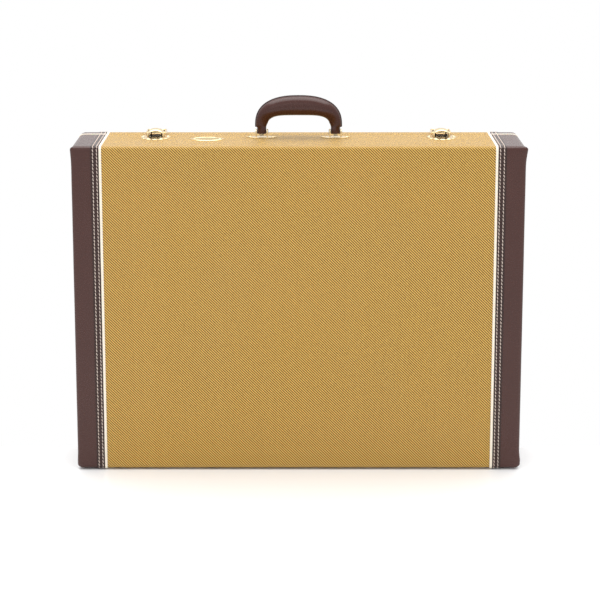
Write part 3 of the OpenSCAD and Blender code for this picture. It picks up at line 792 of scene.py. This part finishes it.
HEAD_R = 2.5 * MM
HEAD_H = 1.0 * MM
INNER_HEAD_H = 0.5 * MM
SHANK_R = 1.4 * MM
SHANK_LONG = 6 * MM
SCREW_RECESS = 0.4 * MM
PLATE_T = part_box("badge")[1][2] - TOP


def domed_head(height, recess):
    """Levels of a domed head with its shank below, and a small flat or a recess on top."""
    dome = [(height * math.sin(a), HEAD_R * (1 - math.cos(a))) for a in np.linspace(0, 1.25, 6)]
    top = [(height * 0.97 - recess, HEAD_R * 0.80)] if recess else []
    shank = [(-SHANK_LONG, HEAD_R - SHANK_R), (-0.1 * MM, HEAD_R - SHANK_R)]
    return shank + [(0, 0)] + dome[1:] + top


for node, body, recess in (("base_rivets", "base", 0), ("badge_nails", "base", 0),
                           ("handle_mount_screws", "base", SCREW_RECESS), ("lid_rivets", "lid", 0)):
    parts = []
    for above in (True, False):
        height = HEAD_H if above else INNER_HEAD_H
        spots = [(*((low + high) / 2)[:2], TOP + PLATE_T if above else low[2] + height)
                 for low, high in boxes_of(node) if (high[2] > TOP) == above]
        if not spots:
            continue
        head = template("head_shape", [slab(circle(HEAD_R), domed_head(height, recess))], gold)
        way = (0, 0, 1 if above else -1)
        parts.append(fastening.grow(f"{node}_part", carrier_mesh(spots, [way] * len(spots), []),
                                    {"Head": head, "Finish": gold.material}))
        bpy.data.objects.remove(head)
    work = bmesh.new()
    for part in parts:
        work.from_mesh(part)
    mesh = bpy.data.meshes.new(f"{node}_heads")
    work.to_mesh(mesh)
    work.free()
    mesh.materials.append(gold.material)
    settle(mesh, gold, body, [node], sharp=40)

glide_spots = [(*((low + high) / 2)[:2], 0) for low, high in boxes_of("glides")]
glide_r = max((high - low)[0] for low, high in boxes_of("glides")) / 2
glide_levels = [(0, 1.6 * MM), (0, 1.2 * MM), (0.25 * MM, 0.45 * MM), (0.7 * MM, 0), (1.3 * MM, 0),
                (BOTTOM, 0.5 * MM), (BOTTOM, glide_r - 2 * MM), (BOTTOM + 6 * MM, glide_r - 2 * MM)]
glide_shape = template("glide_shape", [slab(circle(glide_r, 36), glide_levels)], steel)
mesh = fastening.grow("glide_feet", carrier_mesh(glide_spots, [(0, 0, 1)] * 4, []),
                      {"Head": glide_shape, "Finish": steel.material})
settle(mesh, steel, "base", ["glides"])
bpy.data.objects.remove(glide_shape)

# ---- Handle mounts ----
# Two stamped, plated, boat-shaped plates, each with two upright ears that a leg of the handle
# hangs between on a steel pin. Two screws hold each plate to the top.


def signed_power(value, exponent):
    return math.copysign(abs(value) ** exponent, value)


def boat(half_long, half_wide, point=1.7, count=40):
    """A pointed oval; a larger point value makes sharper ends."""
    return np.array([(half_long * math.cos(a), half_wide * signed_power(math.sin(a), point))
                     for a in full_turn(count)])


def rounded_rect(wide, tall, radius, pitch=1.0, steps=5):
    """A rectangle round the origin with round corners and points along its sides."""
    points = []
    for turn, (sx, sy) in enumerate([(1, 1), (-1, 1), (-1, -1), (1, -1)]):
        centre = np.array([sx * (wide / 2 - radius), sy * (tall / 2 - radius)])
        for a in np.linspace(0, math.pi / 2, steps + 1) + turn * math.pi / 2:
            points.append(centre + radius * np.array([math.cos(a), math.sin(a)]))
        straight = (tall if turn % 2 else wide) - 2 * radius
        way = np.array([[-1, 0], [0, -1], [1, 0], [0, 1]][turn])
        for t in range(1, int(straight / pitch)):
            points.append(points[-1] + way * straight / int(straight / pitch))
    return np.array(points)


def ear(x, y, pivot, radius, thick):
    """An upright ear with a round top, standing on the top of the case at x."""
    arch = [(radius * math.cos(a), pivot - TOP + radius * math.sin(a))
            for a in np.linspace(0, math.pi, 17)]
    outline = [(radius, PLATE_T * 0.5)] + arch + [(-radius, PLATE_T * 0.5)]
    return slab(outline, rounded_rim(-thick / 2, thick / 2, 0.3 * MM), (x, y, TOP), "yzx")


def middle_of(node):
    """The middle of a CAD node's box."""
    return [(a + b) / 2 for a, b in zip(*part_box(node))]


HANDLE_X, HANDLE_Y, _ = middle_of("handle_mount_right")
PIVOT_Z = middle_of("handle_pin_right")[2]
EAR_R = 4.5 * MM
EAR_T = 1.5 * MM
LEG_W = 13 * MM
EAR_GAP = LEG_W + 1 * MM
MOUNT_HALF_Y = 8.5 * MM
PLATE_EDGE = 0.35 * MM
for hand, side in SIDES.items():
    low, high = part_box(f"handle_mount_{hand}")
    half_x = ((high - low) / 2)[0]
    plate = slab(boat(half_x, MOUNT_HALF_Y), rounded_rim(0, PLATE_T, PLATE_EDGE),
                 (side * HANDLE_X, HANDLE_Y, TOP))
    ears = [ear(side * HANDLE_X + s * (EAR_GAP + EAR_T) / 2, HANDLE_Y, PIVOT_Z, EAR_R, EAR_T)
            for s in (-1, 1)]
    settle(mesh_of(f"{hand}_mount", [plate] + ears), gold, "base",
           [f"handle_mount_{hand}"])
dress(["handle_pin_left", "handle_pin_right"], steel)

# ---- Handle ----
# A bent steel strap with an eye at each end, inside a moulded grip that is fat along the top and
# slim at its square-ended legs. A dark welt runs along the middle of its outer edge.

grip_vinyl = leather("grip vinyl", {"Specular IOR Level": 0.36, "Coat Roughness": 0.25},
                     (0.030, 0.007, 0.004), (0.070, 0.020, 0.014), 900, 0.00012)
welt_vinyl = leather("welt", {"Specular IOR Level": 0.4},
                     (0.020, 0.009, 0.008), (0.045, 0.020, 0.017), 900, 0.0001)

GRIP_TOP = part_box("handle_grip")[1][2]
GRIP_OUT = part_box("handle_grip")[1][0] - 0.4 * MM
GRIP_HALF_Y = (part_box("handle_grip")[1][1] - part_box("handle_grip")[0][1]) / 2
LEG_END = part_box("handle_grip")[0][2]
LEG_STEP = TOP + 15 * MM
LEG_HALF_Y = 6.0 * MM
LEG_IN = HANDLE_X - LEG_W / 2
LEG_OUT = HANDLE_X + LEG_W / 2
BEND_Z = TOP + 18 * MM
OUTER_SQUARENESS = 2.45
UNDER_Z = TOP + 32.6 * MM
INNER_SQUARENESS = 3.1
SWELL = 1.7 * MM
SAG = 0.9 * MM
EASED_AT = math.radians(62)


def power_curve(theta, wide, tall, exponent):
    """A point on a quarter of a squared-off ellipse."""
    return wide * math.cos(theta) ** (2 / exponent), tall * math.sin(theta) ** (2 / exponent)


def grip_half():
    """Outer point, inner point and half depth of each section, from the right leg to the middle."""
    rows = []
    for z in (LEG_END, LEG_END + 0.5 * MM, LEG_END + 4 * MM, LEG_STEP - 0.2 * MM):
        rows.append(((LEG_OUT, z), (LEG_IN, z), LEG_HALF_Y))
    rows.append(((GRIP_OUT, LEG_STEP + 0.4 * MM), (LEG_IN, LEG_STEP - 0.1 * MM), LEG_HALF_Y))
    for theta in np.linspace(0.02, math.pi / 2, 30):
        ox, oz = power_curve(theta, GRIP_OUT, GRIP_TOP - BEND_Z, OUTER_SQUARENESS)
        ix, iz = power_curve(theta, LEG_IN - SWELL * min(1, theta * 6), UNDER_Z - LEG_STEP,
                             INNER_SQUARENESS)
        sag = SAG * max(0, math.sin(theta * 2 - math.pi / 2)) ** 2
        ease = min(1, theta / EASED_AT)
        deep = LEG_HALF_Y + (GRIP_HALF_Y - LEG_HALF_Y) * ease * ease * (3 - 2 * ease)
        rows.append(((ox, BEND_Z + oz), (ix, LEG_STEP + iz - sag), deep))
    return rows


def grip_ring(outer, inner, deep, scale=1.0):
    """A section of the grip, a little squarer than an oval."""
    outer, inner = np.array(outer), np.array(inner)
    middle, reach = (outer + inner) / 2, (outer - inner) / 2 * scale
    ring = []
    for a in full_turn(36):
        spot = middle + reach * signed_power(math.cos(a), 2 / 2.3)
        y = HANDLE_Y + deep * scale * signed_power(math.sin(a), 2 / 2.3)
        ring.append((spot[0], y, spot[1]))
    return np.array(ring)


half_rows = grip_half()
right_rings = [grip_ring(*half_rows[0], scale=0.9)] + [grip_ring(*row) for row in half_rows]
MIRROR = np.array([-1, 1, 1])
left_rings = [ring * MIRROR for ring in reversed(right_rings[:-1])]
settle(mesh_of("grip", [loft(right_rings + left_rings)]), grip_vinyl, "handle",
       ["handle_grip"], sharp=50)

WELT_R = 1.15 * MM
WELT_LIFT = 0.05 * MM
edge_points, edge_outs = [], []
for outer, inner, _ in half_rows[4:]:
    way = np.array(outer) - np.array(inner)
    way /= np.linalg.norm(way)
    edge_points.append(np.array([outer[0], HANDLE_Y, outer[1]]))
    edge_outs.append(np.array([way[0], 0, way[1]]))
edge_points += [point * MIRROR for point in reversed(edge_points[:-1])]
edge_outs += [out * MIRROR for out in reversed(edge_outs[:-1])]
welt_line = Line(edge_points, edge_outs)


def round_section(radius, lift=0.0):
    ring = circle(radius, 12) + (0, lift)
    return lambda far: ring


welt_mesh = mesh_of("grip_welt", [loft(swept(welt_line, round_section(WELT_R, WELT_LIFT), Y_AXIS))])
settle(welt_mesh, welt_vinyl, "handle", ["handle_welt"], sharp=50)


def laid(line, axes, origin):
    """A line drawn in Y and Z laid along two other axes from an origin."""
    order = ["xyz".index(letter) for letter in axes]

    def turned(rows):
        moved = np.zeros_like(rows)
        moved[:, order[0]] = rows[:, 1]
        moved[:, order[1]] = rows[:, 2]
        return moved

    return Line(turned(line.points) + np.array(origin), turned(line.outs))


BAR_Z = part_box("handle_core")[1][2] - 4 * MM
STRAP_BEND = 12 * MM
EYE_R = 5.2 * MM
strap = rounded_line([(-HANDLE_X, PIVOT_Z), (-HANDLE_X, BAR_Z), (HANDLE_X, BAR_Z), (HANDLE_X, PIVOT_Z)],
                     [STRAP_BEND, STRAP_BEND], 3 * MM)
strap = laid(strap, "xz", (0, HANDLE_Y, 0))
strap_section = rounded_rect(9 * MM, 2 * MM, 0.5 * MM, 3 * MM, 2)
core_parts = [loft(swept(strap, lambda far: strap_section, Y_AXIS))]
core_parts += [slab(circle(EYE_R, 32), rounded_rim(-3 * MM, 3 * MM, 0.4 * MM),
                    (s * HANDLE_X, HANDLE_Y, PIVOT_Z), "yzx") for s in (-1, 1)]
settle(mesh_of("handle_strap", core_parts), steel, "handle", ["handle_core"])

# ---- Latches ----
# Each of the two latches has a fluted, scalloped plate with two inner ears, a domed hood slotted to
# turn past them on its pin, and a wire loop from the hood that pulls over the strike's tooth.

# Painted shade: a dark finish for the inner side of each hood and the pins inside it, standing in for
# the shade within the hood's mouth.
hood_painted_shade = metal("hood inside", (0.055, 0.038, 0.024), (0.018, 0.012, 0.008), 0.42)
LATCH_X, LEVER_Y, LEVER_Z = middle_of("latch_pin_right")
LOBES = 12
UNDER_HOOD_X = 13 * MM
UNDER_HOOD_Y = 8 * MM
# Across the plate: how far out, how high in mm, and how much of the fluting shows there.
DISHED = [(1, 0, 0), (1, 0.5, 0), (0.985, 0.75, 0.05), (0.95, 0.9, 0.25), (0.90, 0.95, 0.45),
          (0.84, 0.95, 0.45), (0.78, 0.9, 0.25), (0.72, 0.8, 0), (0.68, 0.8, 0), (0.3, 0.95, 0),
          (0.05, 0.98, 0)]


def latch_plate(low, high):
    """A dished plate whose rim is scalloped, with a flute running in from each scallop."""
    half = (high - low) / 2
    middle = (low + high) / 2
    turns = full_turn(144)
    lobe = np.abs(np.cos(turns * LOBES / 2)) ** 0.8
    rings = []
    for reach, height, fluting in DISHED:
        ring = []
        for turn, bump in zip(turns, lobe):
            pull = (0.915 + 0.085 * bump) if reach > 0.7 else 0.957
            x = half[0] * math.cos(turn) * reach * pull
            y = half[1] * math.sin(turn) * reach * pull
            under_hood = 1 if abs(x) < UNDER_HOOD_X and y + middle[1] > UNDER_HOOD_Y else 0
            z = height + fluting * (2 * bump - 1) * (1 - 0.6 * under_hood)
            ring.append((x + middle[0], y + middle[1], TOP + z * MM))
        rings.append(ring)
    return loft(rings)


def darken(mesh, finish, where):
    """Gives the faces of a gold mesh whose middles are where it says a second finish."""
    mesh.materials.append(gold.material)
    mesh.materials.append(finish.material)
    for face in mesh.polygons:
        face.material_index = 1 if where(face.center) else 0


HOOD_LOW, HOOD_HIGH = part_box("latch_lever_right")
HOOD_HALF = (HOOD_HIGH[0] - HOOD_LOW[0]) / 2
HOOD_TOP = HOOD_HIGH[2]
MOUTH_Y = HOOD_LOW[1]
BOSS_R = 4.3 * MM
HOOD_FLOOR = LEVER_Z - BOSS_R
HOOD_FOOT = 2.0 * MM
HOOD_SQUARENESS = 2.2
HOOD_T = 1.2 * MM
SLOT_IN = 6 * MM
SLOT_OUT = 9 * MM
SLOT_FROM = math.radians(34)
# From the mouth backwards: how far in, and how far the roof drops from its highest, in mm.
ROOF = [(0, 3.1), (0.15, 2.7), (0.5, 2.2), (2, 1.25), (4, 0.6), (6, 0.2), (8, 0.05), (10, 0),
        (12.5, 0.1), (15, 0.5), (18, 1.05)]


def hood_rows():
    """The hood from its mouth back to the barrel round its pin: y, roof and floor of each row."""
    rows = [(MOUTH_Y + dy * MM, HOOD_TOP - drop * MM, HOOD_FLOOR) for dy, drop in ROOF]
    for a in np.radians([0, 18, 34, 50, 66, 80, 90]):
        rows.append((LEVER_Y + BOSS_R * math.sin(a), LEVER_Z + BOSS_R * math.cos(a),
                     LEVER_Z - BOSS_R * math.cos(a)))
    return rows


def hood_mesh(name, x_middle):
    """The hood's open skin, with two slots behind its pin that clear the ears as it turns."""
    grid = []
    rise = 2 / HOOD_SQUARENESS
    for number, (y, roof, floor_z) in enumerate(hood_rows()):
        foot = min(floor_z + HOOD_FOOT, (roof + floor_z) / 2)
        narrow = 1 - 0.05 * (number in (0, 1)) - 0.03 * (number == 2)
        row = [(-HOOD_HALF * narrow, floor_z)]
        for a in np.linspace(math.pi, 0, 23):
            up = math.sin(a) ** rise if 0 < a < math.pi else 0
            row.append((HOOD_HALF * narrow * signed_power(math.cos(a), rise), foot + (roof - foot) * up))
        row.append((HOOD_HALF * narrow, floor_z))
        grid.append([(x + x_middle, y, z) for x, z in row])
    behind_pin = LEVER_Y + BOSS_R * math.sin(SLOT_FROM)
    mesh = open_skin(name, [grid], 0.005 * MM, Vector((0, 0, 1)),
                     lambda spot: spot.y > behind_pin and SLOT_IN < abs(spot.x - x_middle) < SLOT_OUT)
    mesh.materials.append(gold.material)
    # Second finish: the painted shade for the hood's inner side.
    mesh.materials.append(hood_painted_shade.material)
    return mesh


LOOP_LOW, LOOP_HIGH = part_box("latch_loop_right")
WIRE_R = 1.15 * MM
LOOP_EDGE = 1.2 * MM
LOOP_Z = (LOOP_LOW[2] + LOOP_HIGH[2]) / 2
LOOP_HALF = (LOOP_HIGH[0] - LOOP_LOW[0]) / 2 - LOOP_EDGE
LOOP_NEAR = LOOP_LOW[1] + LOOP_EDGE
LOOP_FAR = LOOP_HIGH[1] - LOOP_EDGE
TURNED = 2.8 * MM
INNER_EAR_X = 7.45 * MM
INNER_EAR_R = 2.4 * MM
# Where the plate under each hood gets painted shadow: its half width, and its front and back in Y.
SHADED_HALF_X = 9.4 * MM
SHADED_FRONT = 13 * MM
SHADED_BACK = 38 * MM
TOOTH_FRONT = 46.6 * MM
TOOTH_BACK = 48.4 * MM
TOOTH_TALL = 4.0 * MM
TOOTH_HALF = 8 * MM
Z_AXIS = np.array([0, 0, 1.0])
for hand, side in SIDES.items():
    low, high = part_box(f"latch_plate_{hand}")
    plate_low = np.array([low[0], low[1], TOP])
    plate_high = np.array([high[0], high[1], TOP])
    inner_ears = [ear(side * LATCH_X + s * INNER_EAR_X, LEVER_Y, LEVER_Z, INNER_EAR_R, EAR_T)
                  for s in (-1, 1)]
    mesh = mesh_of(f"{hand}_latch_plate", [latch_plate(plate_low, plate_high)] + inner_ears)
    # Painted shadow: the plate's faces under the hood take the dark hood finish.
    darken(mesh, hood_painted_shade, lambda spot: (abs(spot.x - side * LATCH_X) < SHADED_HALF_X
                                            and SHADED_FRONT < spot.y < SHADED_BACK))
    settle(mesh, gold, "base", [f"latch_plate_{hand}"], sharp=40)
    hood = settle(hood_mesh(f"{hand}_hood", side * LATCH_X), gold, f"lever_{hand}",
                  [f"latch_lever_{hand}"], sharp=60)
    # The inner side of the hood's thickness takes the second finish, the painted shade.
    thicken(hood, HOOD_T).material_offset = 1
    loop_corners = [(TURNED - LOOP_HALF, LOOP_NEAR), (-LOOP_HALF, LOOP_NEAR), (-LOOP_HALF, LOOP_FAR),
                    (LOOP_HALF, LOOP_FAR), (LOOP_HALF, LOOP_NEAR), (LOOP_HALF - TURNED, LOOP_NEAR)]
    loop_path = rounded_line(loop_corners, [1.3 * MM, 3 * MM, 3 * MM, 1.3 * MM], 2 * MM)
    loop_path = laid(loop_path, "xy", (side * LATCH_X, 0, LOOP_Z))
    mesh = mesh_of(f"{hand}_wire_loop", [loft(swept(loop_path, round_section(WIRE_R), Z_AXIS))])
    settle(mesh, gold, f"loop_{hand}", [f"latch_loop_{hand}"], sharp=50)
    low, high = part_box(f"strike_{hand}")
    middle = (low + high) / 2
    plate = slab(rounded_rect(high[0] - low[0], high[1] - low[1], 4 * MM),
                 rounded_rim(0, PLATE_T, PLATE_EDGE), (middle[0], middle[1], TOP))
    hook = [(TOOTH_FRONT, 0.3 * MM), (TOOTH_FRONT, TOOTH_TALL - 1.2 * MM),
            (TOOTH_FRONT + 0.35 * MM, TOOTH_TALL - 0.4 * MM), (TOOTH_FRONT + 0.9 * MM, TOOTH_TALL),
            (TOOTH_BACK - 0.3 * MM, TOOTH_TALL - 0.2 * MM), (TOOTH_BACK, TOOTH_TALL - 0.8 * MM),
            (TOOTH_BACK, 0.3 * MM)]
    tooth = slab(hook, rounded_rim(-TOOTH_HALF, TOOTH_HALF, 0.3 * MM), (side * LATCH_X, 0, TOP), "yzx")
    settle(mesh_of(f"{hand}_strike", [plate, tooth]), gold, "lid", [f"strike_{hand}"])
# The latch pins inside the hoods take the same painted shade.
dress(["latch_pin_left", "latch_pin_right"], hood_painted_shade)

# ---- Badge ----
# A stamped pointed oval with a raised border and a blank field, held by two small nails.

badge_low, badge_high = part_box("badge")
badge_half = (badge_high - badge_low) / 2
badge_levels = [(0, 0), (0.6 * MM, 0), (0.9 * MM, 0.25 * MM), (PLATE_T, 0.7 * MM), (PLATE_T, 1.4 * MM),
                (0.7 * MM, 1.8 * MM), (0.7 * MM, 1.8 * MM, 0.95), (0.85 * MM, 1.8 * MM, 0.5)]
badge_x, badge_y, _ = (badge_low + badge_high) / 2
badge_part = slab(boat(badge_half[0], badge_half[1], 1.35, 64), badge_levels, (badge_x, badge_y, TOP))
badge_field = metal("badge field", (0.52, 0.43, 0.25), (0.40, 0.32, 0.17), 0.42)


def in_badge_field(spot):
    round_middle = ((spot.x - badge_x) ** 2 / badge_half[0] ** 2
                    + (spot.y - badge_y) ** 2 / badge_half[1] ** 2)
    return TOP + 0.6 * MM < spot.z < TOP + 0.88 * MM and round_middle < 0.75


badge_mesh = mesh_of("badge_plate", [badge_part])
darken(badge_mesh, badge_field, in_badge_field)
settle(badge_mesh, gold, "base", ["badge"])

# ---- Hinges ----
# Three butt hinges underneath, riveted to the two shells: a leaf each, five rolled knuckles that
# lie in pockets of the rims, and a steel pin through them.

KNUCKLE_R = 1.8 * MM
KNUCKLES = 5
LEAF_WIDE = 40 * MM
LEAF_T = 1 * MM
LEAF_START = 2.2 * MM
NECK = LEAF_START + 0.6 * MM
HINGE_GAP = 0.3 * MM
SEAM_Y = (BASE_RIM + LID_RIM) / 2
pitch = LEAF_WIDE / KNUCKLES
half_pitch = (pitch - HINGE_GAP) / 2
for place, (low, high) in zip(("left", "middle", "right"), HINGE_BOXES):
    hinge_x = (low[0] + high[0]) / 2
    for shell, way, first in (("base", -1, 0), ("lid", 1, 1)):
        leaf_low, leaf_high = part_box(f"hinge_{place}_{shell}_leaf")
        far_y = leaf_low[1] if shell == "base" else leaf_high[1]
        near_y = SEAM_Y + way * LEAF_START
        parts = [slab(rounded_rect(LEAF_WIDE, abs(far_y - near_y), 2.2 * MM, 2 * MM, 4),
                      rounded_rim(-LEAF_T, 0, 0.25 * MM), (hinge_x, (far_y + near_y) / 2, BOTTOM))]
        for k in range(first, KNUCKLES, 2):
            middle = hinge_x + (k + 0.5) * pitch - LEAF_WIDE / 2
            parts.append(slab(circle(KNUCKLE_R, 20), rounded_rim(-half_pitch, half_pitch, 0.25 * MM),
                              (middle, SEAM_Y, BOTTOM), "yzx"))
            parts.append(slab(rounded_rect(2 * half_pitch, NECK, 0.15 * MM, 2 * MM, 1),
                              rounded_rim(-LEAF_T, 0, 0.1 * MM),
                              (middle, SEAM_Y + way * NECK / 2, BOTTOM)))
        settle(mesh_of(f"{place}_hinge_{shell}_leaf", parts), gold, shell,
               [f"hinge_{place}_{shell}_leaf"])
dress(["hinge_pins"], steel)

# ---- Foam and plush lining ----
# Foam pads line the walls and panels, and wine red plush is stretched over them. A plush-covered
# board stands out of the base all round and slips inside the lid when the case is shut.

plush = Finish("plush", {"Sheen Weight": 0.8, "Sheen Roughness": 0.35, "Sheen Tint": (0.75, 0.28, 0.28),
                         "Specular IOR Level": 0.2})
pile = plush.mottle(1400, 3)
brushed = plush.mottle(14, 4)
wine_red = plush.mix(pile * 0.5 + brushed * 0.6, (0.055, 0.004, 0.010), (0.20, 0.020, 0.030))
plush.give({"Base Color": wine_red, "Roughness": brushed * 0.2 + 0.75})
plush.relief(pile + brushed * 0.5, 0.0006, 0.8)

foam = Finish("foam", {"Specular IOR Level": 0.15})
cell = foam.pebbles(650)
yellowed = foam.mottle(8, 3)
# Painted shade: the foam is darker in each cell's hollow, where the same cell pattern sinks the bump;
# the yellowed mottle is its own ageing.
foam.give({"Base Color": foam.mix(cell * 0.5 + yellowed * 0.5, (0.30, 0.27, 0.20), (0.62, 0.58, 0.47)),
           "Roughness": cell * 0.1 + 0.85})
foam.relief(cell, 0.0005, 0.8)


def soft_block(low, high, edge):
    """A pad that fills a box, with rounded rims, built up along its thinnest side."""
    size = high - low
    axes = ("yzx", "xzy", "xyz")[int(np.argmin(size))]
    first, second, along = ["xyz".index(letter) for letter in axes]
    outline = rounded_rect(size[first], size[second], edge * 1.05, 15 * MM, 3)
    origin = (low + high) / 2
    origin[along] = low[along]
    return slab(outline, rounded_rim(0, size[along], edge), origin, axes)


for node, body, finish, slot, edge in (("base_floor_foam", "base", foam, "foam", 1.5 * MM),
                                       ("base_side_foam", "base", foam, "foam", 1.5 * MM),
                                       ("valance", "base", plush, "plush", 1.7 * MM),
                                       ("lid_foam", "lid", foam, "foam", 2.5 * MM)):
    blocks = [soft_block(low, high, edge) for low, high in boxes_of(node)]
    made = settle(mesh_of(f"{node}_pads", blocks), finish, body, [node], sharp=60)


def front_middle(low, high):
    """The middle of a box's front face."""
    middle = (low + high) / 2
    return middle[0], low[1], middle[2]


PLUSH_T = 1.5 * MM
INNER_R = 7 * MM
FLANGE = 3.8 * MM
FLANGE_T = 1 * MM
LIP_R = 0.75 * MM
tray_low, tray_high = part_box("base_lining")
tray_size = tray_high - tray_low
deep = tray_size[1]
tray_outline = rounded_rect(tray_size[0], tray_size[2], 9 * MM, 12 * MM, 5)
turn = np.linspace(0, math.pi / 2, 6)
tray_levels = [(0, 0), (deep - FLANGE_T, 0), (deep - FLANGE_T, -FLANGE), (deep - 0.1 * MM, -FLANGE),
               (deep + 0.3 * MM, 0.4 * MM - FLANGE), (deep + 0.3 * MM, 0)]
tray_levels += [(deep - LIP_R * (1 - math.cos(a)), LIP_R * (1 + math.sin(a))) for a in turn[1:]]
tray_levels += [(deep * t, PLUSH_T) for t in (0.75, 0.5, 0.3)]
tray_levels += [(PLUSH_T + INNER_R * (1 - math.sin(a)), PLUSH_T + INNER_R * (1 - math.cos(a)))
                for a in turn]
tray_levels += [(PLUSH_T, PLUSH_T + INNER_R, scale) for scale in (0.93, 0.8, 0.6, 0.35, 0.1)]
tray = slab(tray_outline, tray_levels, front_middle(tray_low, tray_high), "xzy")
made = settle(mesh_of("plush_tray", [tray]), plush, "base", ["base_lining"], sharp=70)

lid_low, lid_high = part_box("lid_lining")
pad_size = lid_high - lid_low
pad_outline = rounded_rect(pad_size[0], pad_size[2], 4 * MM, 12 * MM, 4)
PAD_IN = 3.5 * MM
pad_levels = [(PLUSH_T + 1 * MM, 0.2 * MM), (PLUSH_T, 0.2 * MM), (PLUSH_T * 0.7, 0.5 * MM),
              (PLUSH_T * 0.4, 1.5 * MM), (PLUSH_T * 0.2, PAD_IN)]
pad_levels += [(0, PAD_IN, scale) for scale in (0.96, 0.6, 0.2)]
pad = slab(pad_outline, pad_levels, front_middle(lid_low, lid_high), "xzy")
del pad[1][-2]
made = settle(mesh_of("lid_plush", [pad]), plush, "lid", ["lid_lining"], sharp=70)
thicken(made, 1 * MM)

# ---- Floor, light and camera ----
# A pale table in a white surround, whose back edge lies behind the rear glides so that the lid can
# swing down past it, with a large soft light overhead and a weaker one in front.

FLOOR_END = 34 * MM
FLOOR_HALF = 6

floor_look = Finish("studio floor", {"Specular IOR Level": 0.25})
cloudy = floor_look.mottle(3, 2)
floor_look.give({"Base Color": floor_look.mix(cloudy, (0.95, 0.95, 0.95), (0.94, 0.94, 0.94)),
                 "Roughness": cloudy * 0.04 + 0.16})
floor_mesh = bpy.data.meshes.new("studio_floor")
floor_mesh.from_pydata([(-FLOOR_HALF, -FLOOR_HALF, 0), (FLOOR_HALF, -FLOOR_HALF, 0),
                        (FLOOR_HALF, FLOOR_END, 0), (-FLOOR_HALF, FLOOR_END, 0)], [], [(0, 1, 2, 3)])
floor_mesh.materials.append(floor_look.material)
floor = bpy.data.objects.new("studio_floor", floor_mesh)
bpy.context.scene.collection.objects.link(floor)

scene = bpy.context.scene
scene.world = bpy.data.worlds.new("studio")
scene.world.use_nodes = True
surround = scene.world.node_tree.nodes["Background"]
surround.inputs["Color"].default_value = (1, 1, 1, 1)
surround.inputs["Strength"].default_value = 1.0


def soft_light(name, spot, aim, size, power):
    lamp = bpy.data.lights.new(name, "AREA")
    lamp.shape = "RECTANGLE"
    lamp.size, lamp.size_y = size
    lamp.energy = power
    holder = bpy.data.objects.new(name, lamp)
    scene.collection.objects.link(holder)
    holder.location = spot
    holder.rotation_euler = (Vector(aim) - Vector(spot)).to_track_quat("-Z", "Y").to_euler()


soft_light("overhead", (0, 0.2, 2.6), (0, 0, 0.2), (3.2, 2.4), 66)
soft_light("front", (-0.8, -2.8, 1.5), (0, 0, 0.25), (2.0, 1.6), 5)

LOOK_DOWN = 11.27
lens = bpy.data.cameras.new("camera")
lens.lens = 111.8
lens.sensor_width = 36
lens.shift_y = -0.16
camera = bpy.data.objects.new("camera", lens)
camera.location = (0.002, -2.560, 0.878)
camera.rotation_euler = (math.radians(90 - LOOK_DOWN), 0, 0)
scene.collection.objects.link(camera)
scene.camera = camera
scene.view_settings.view_transform = "Standard"
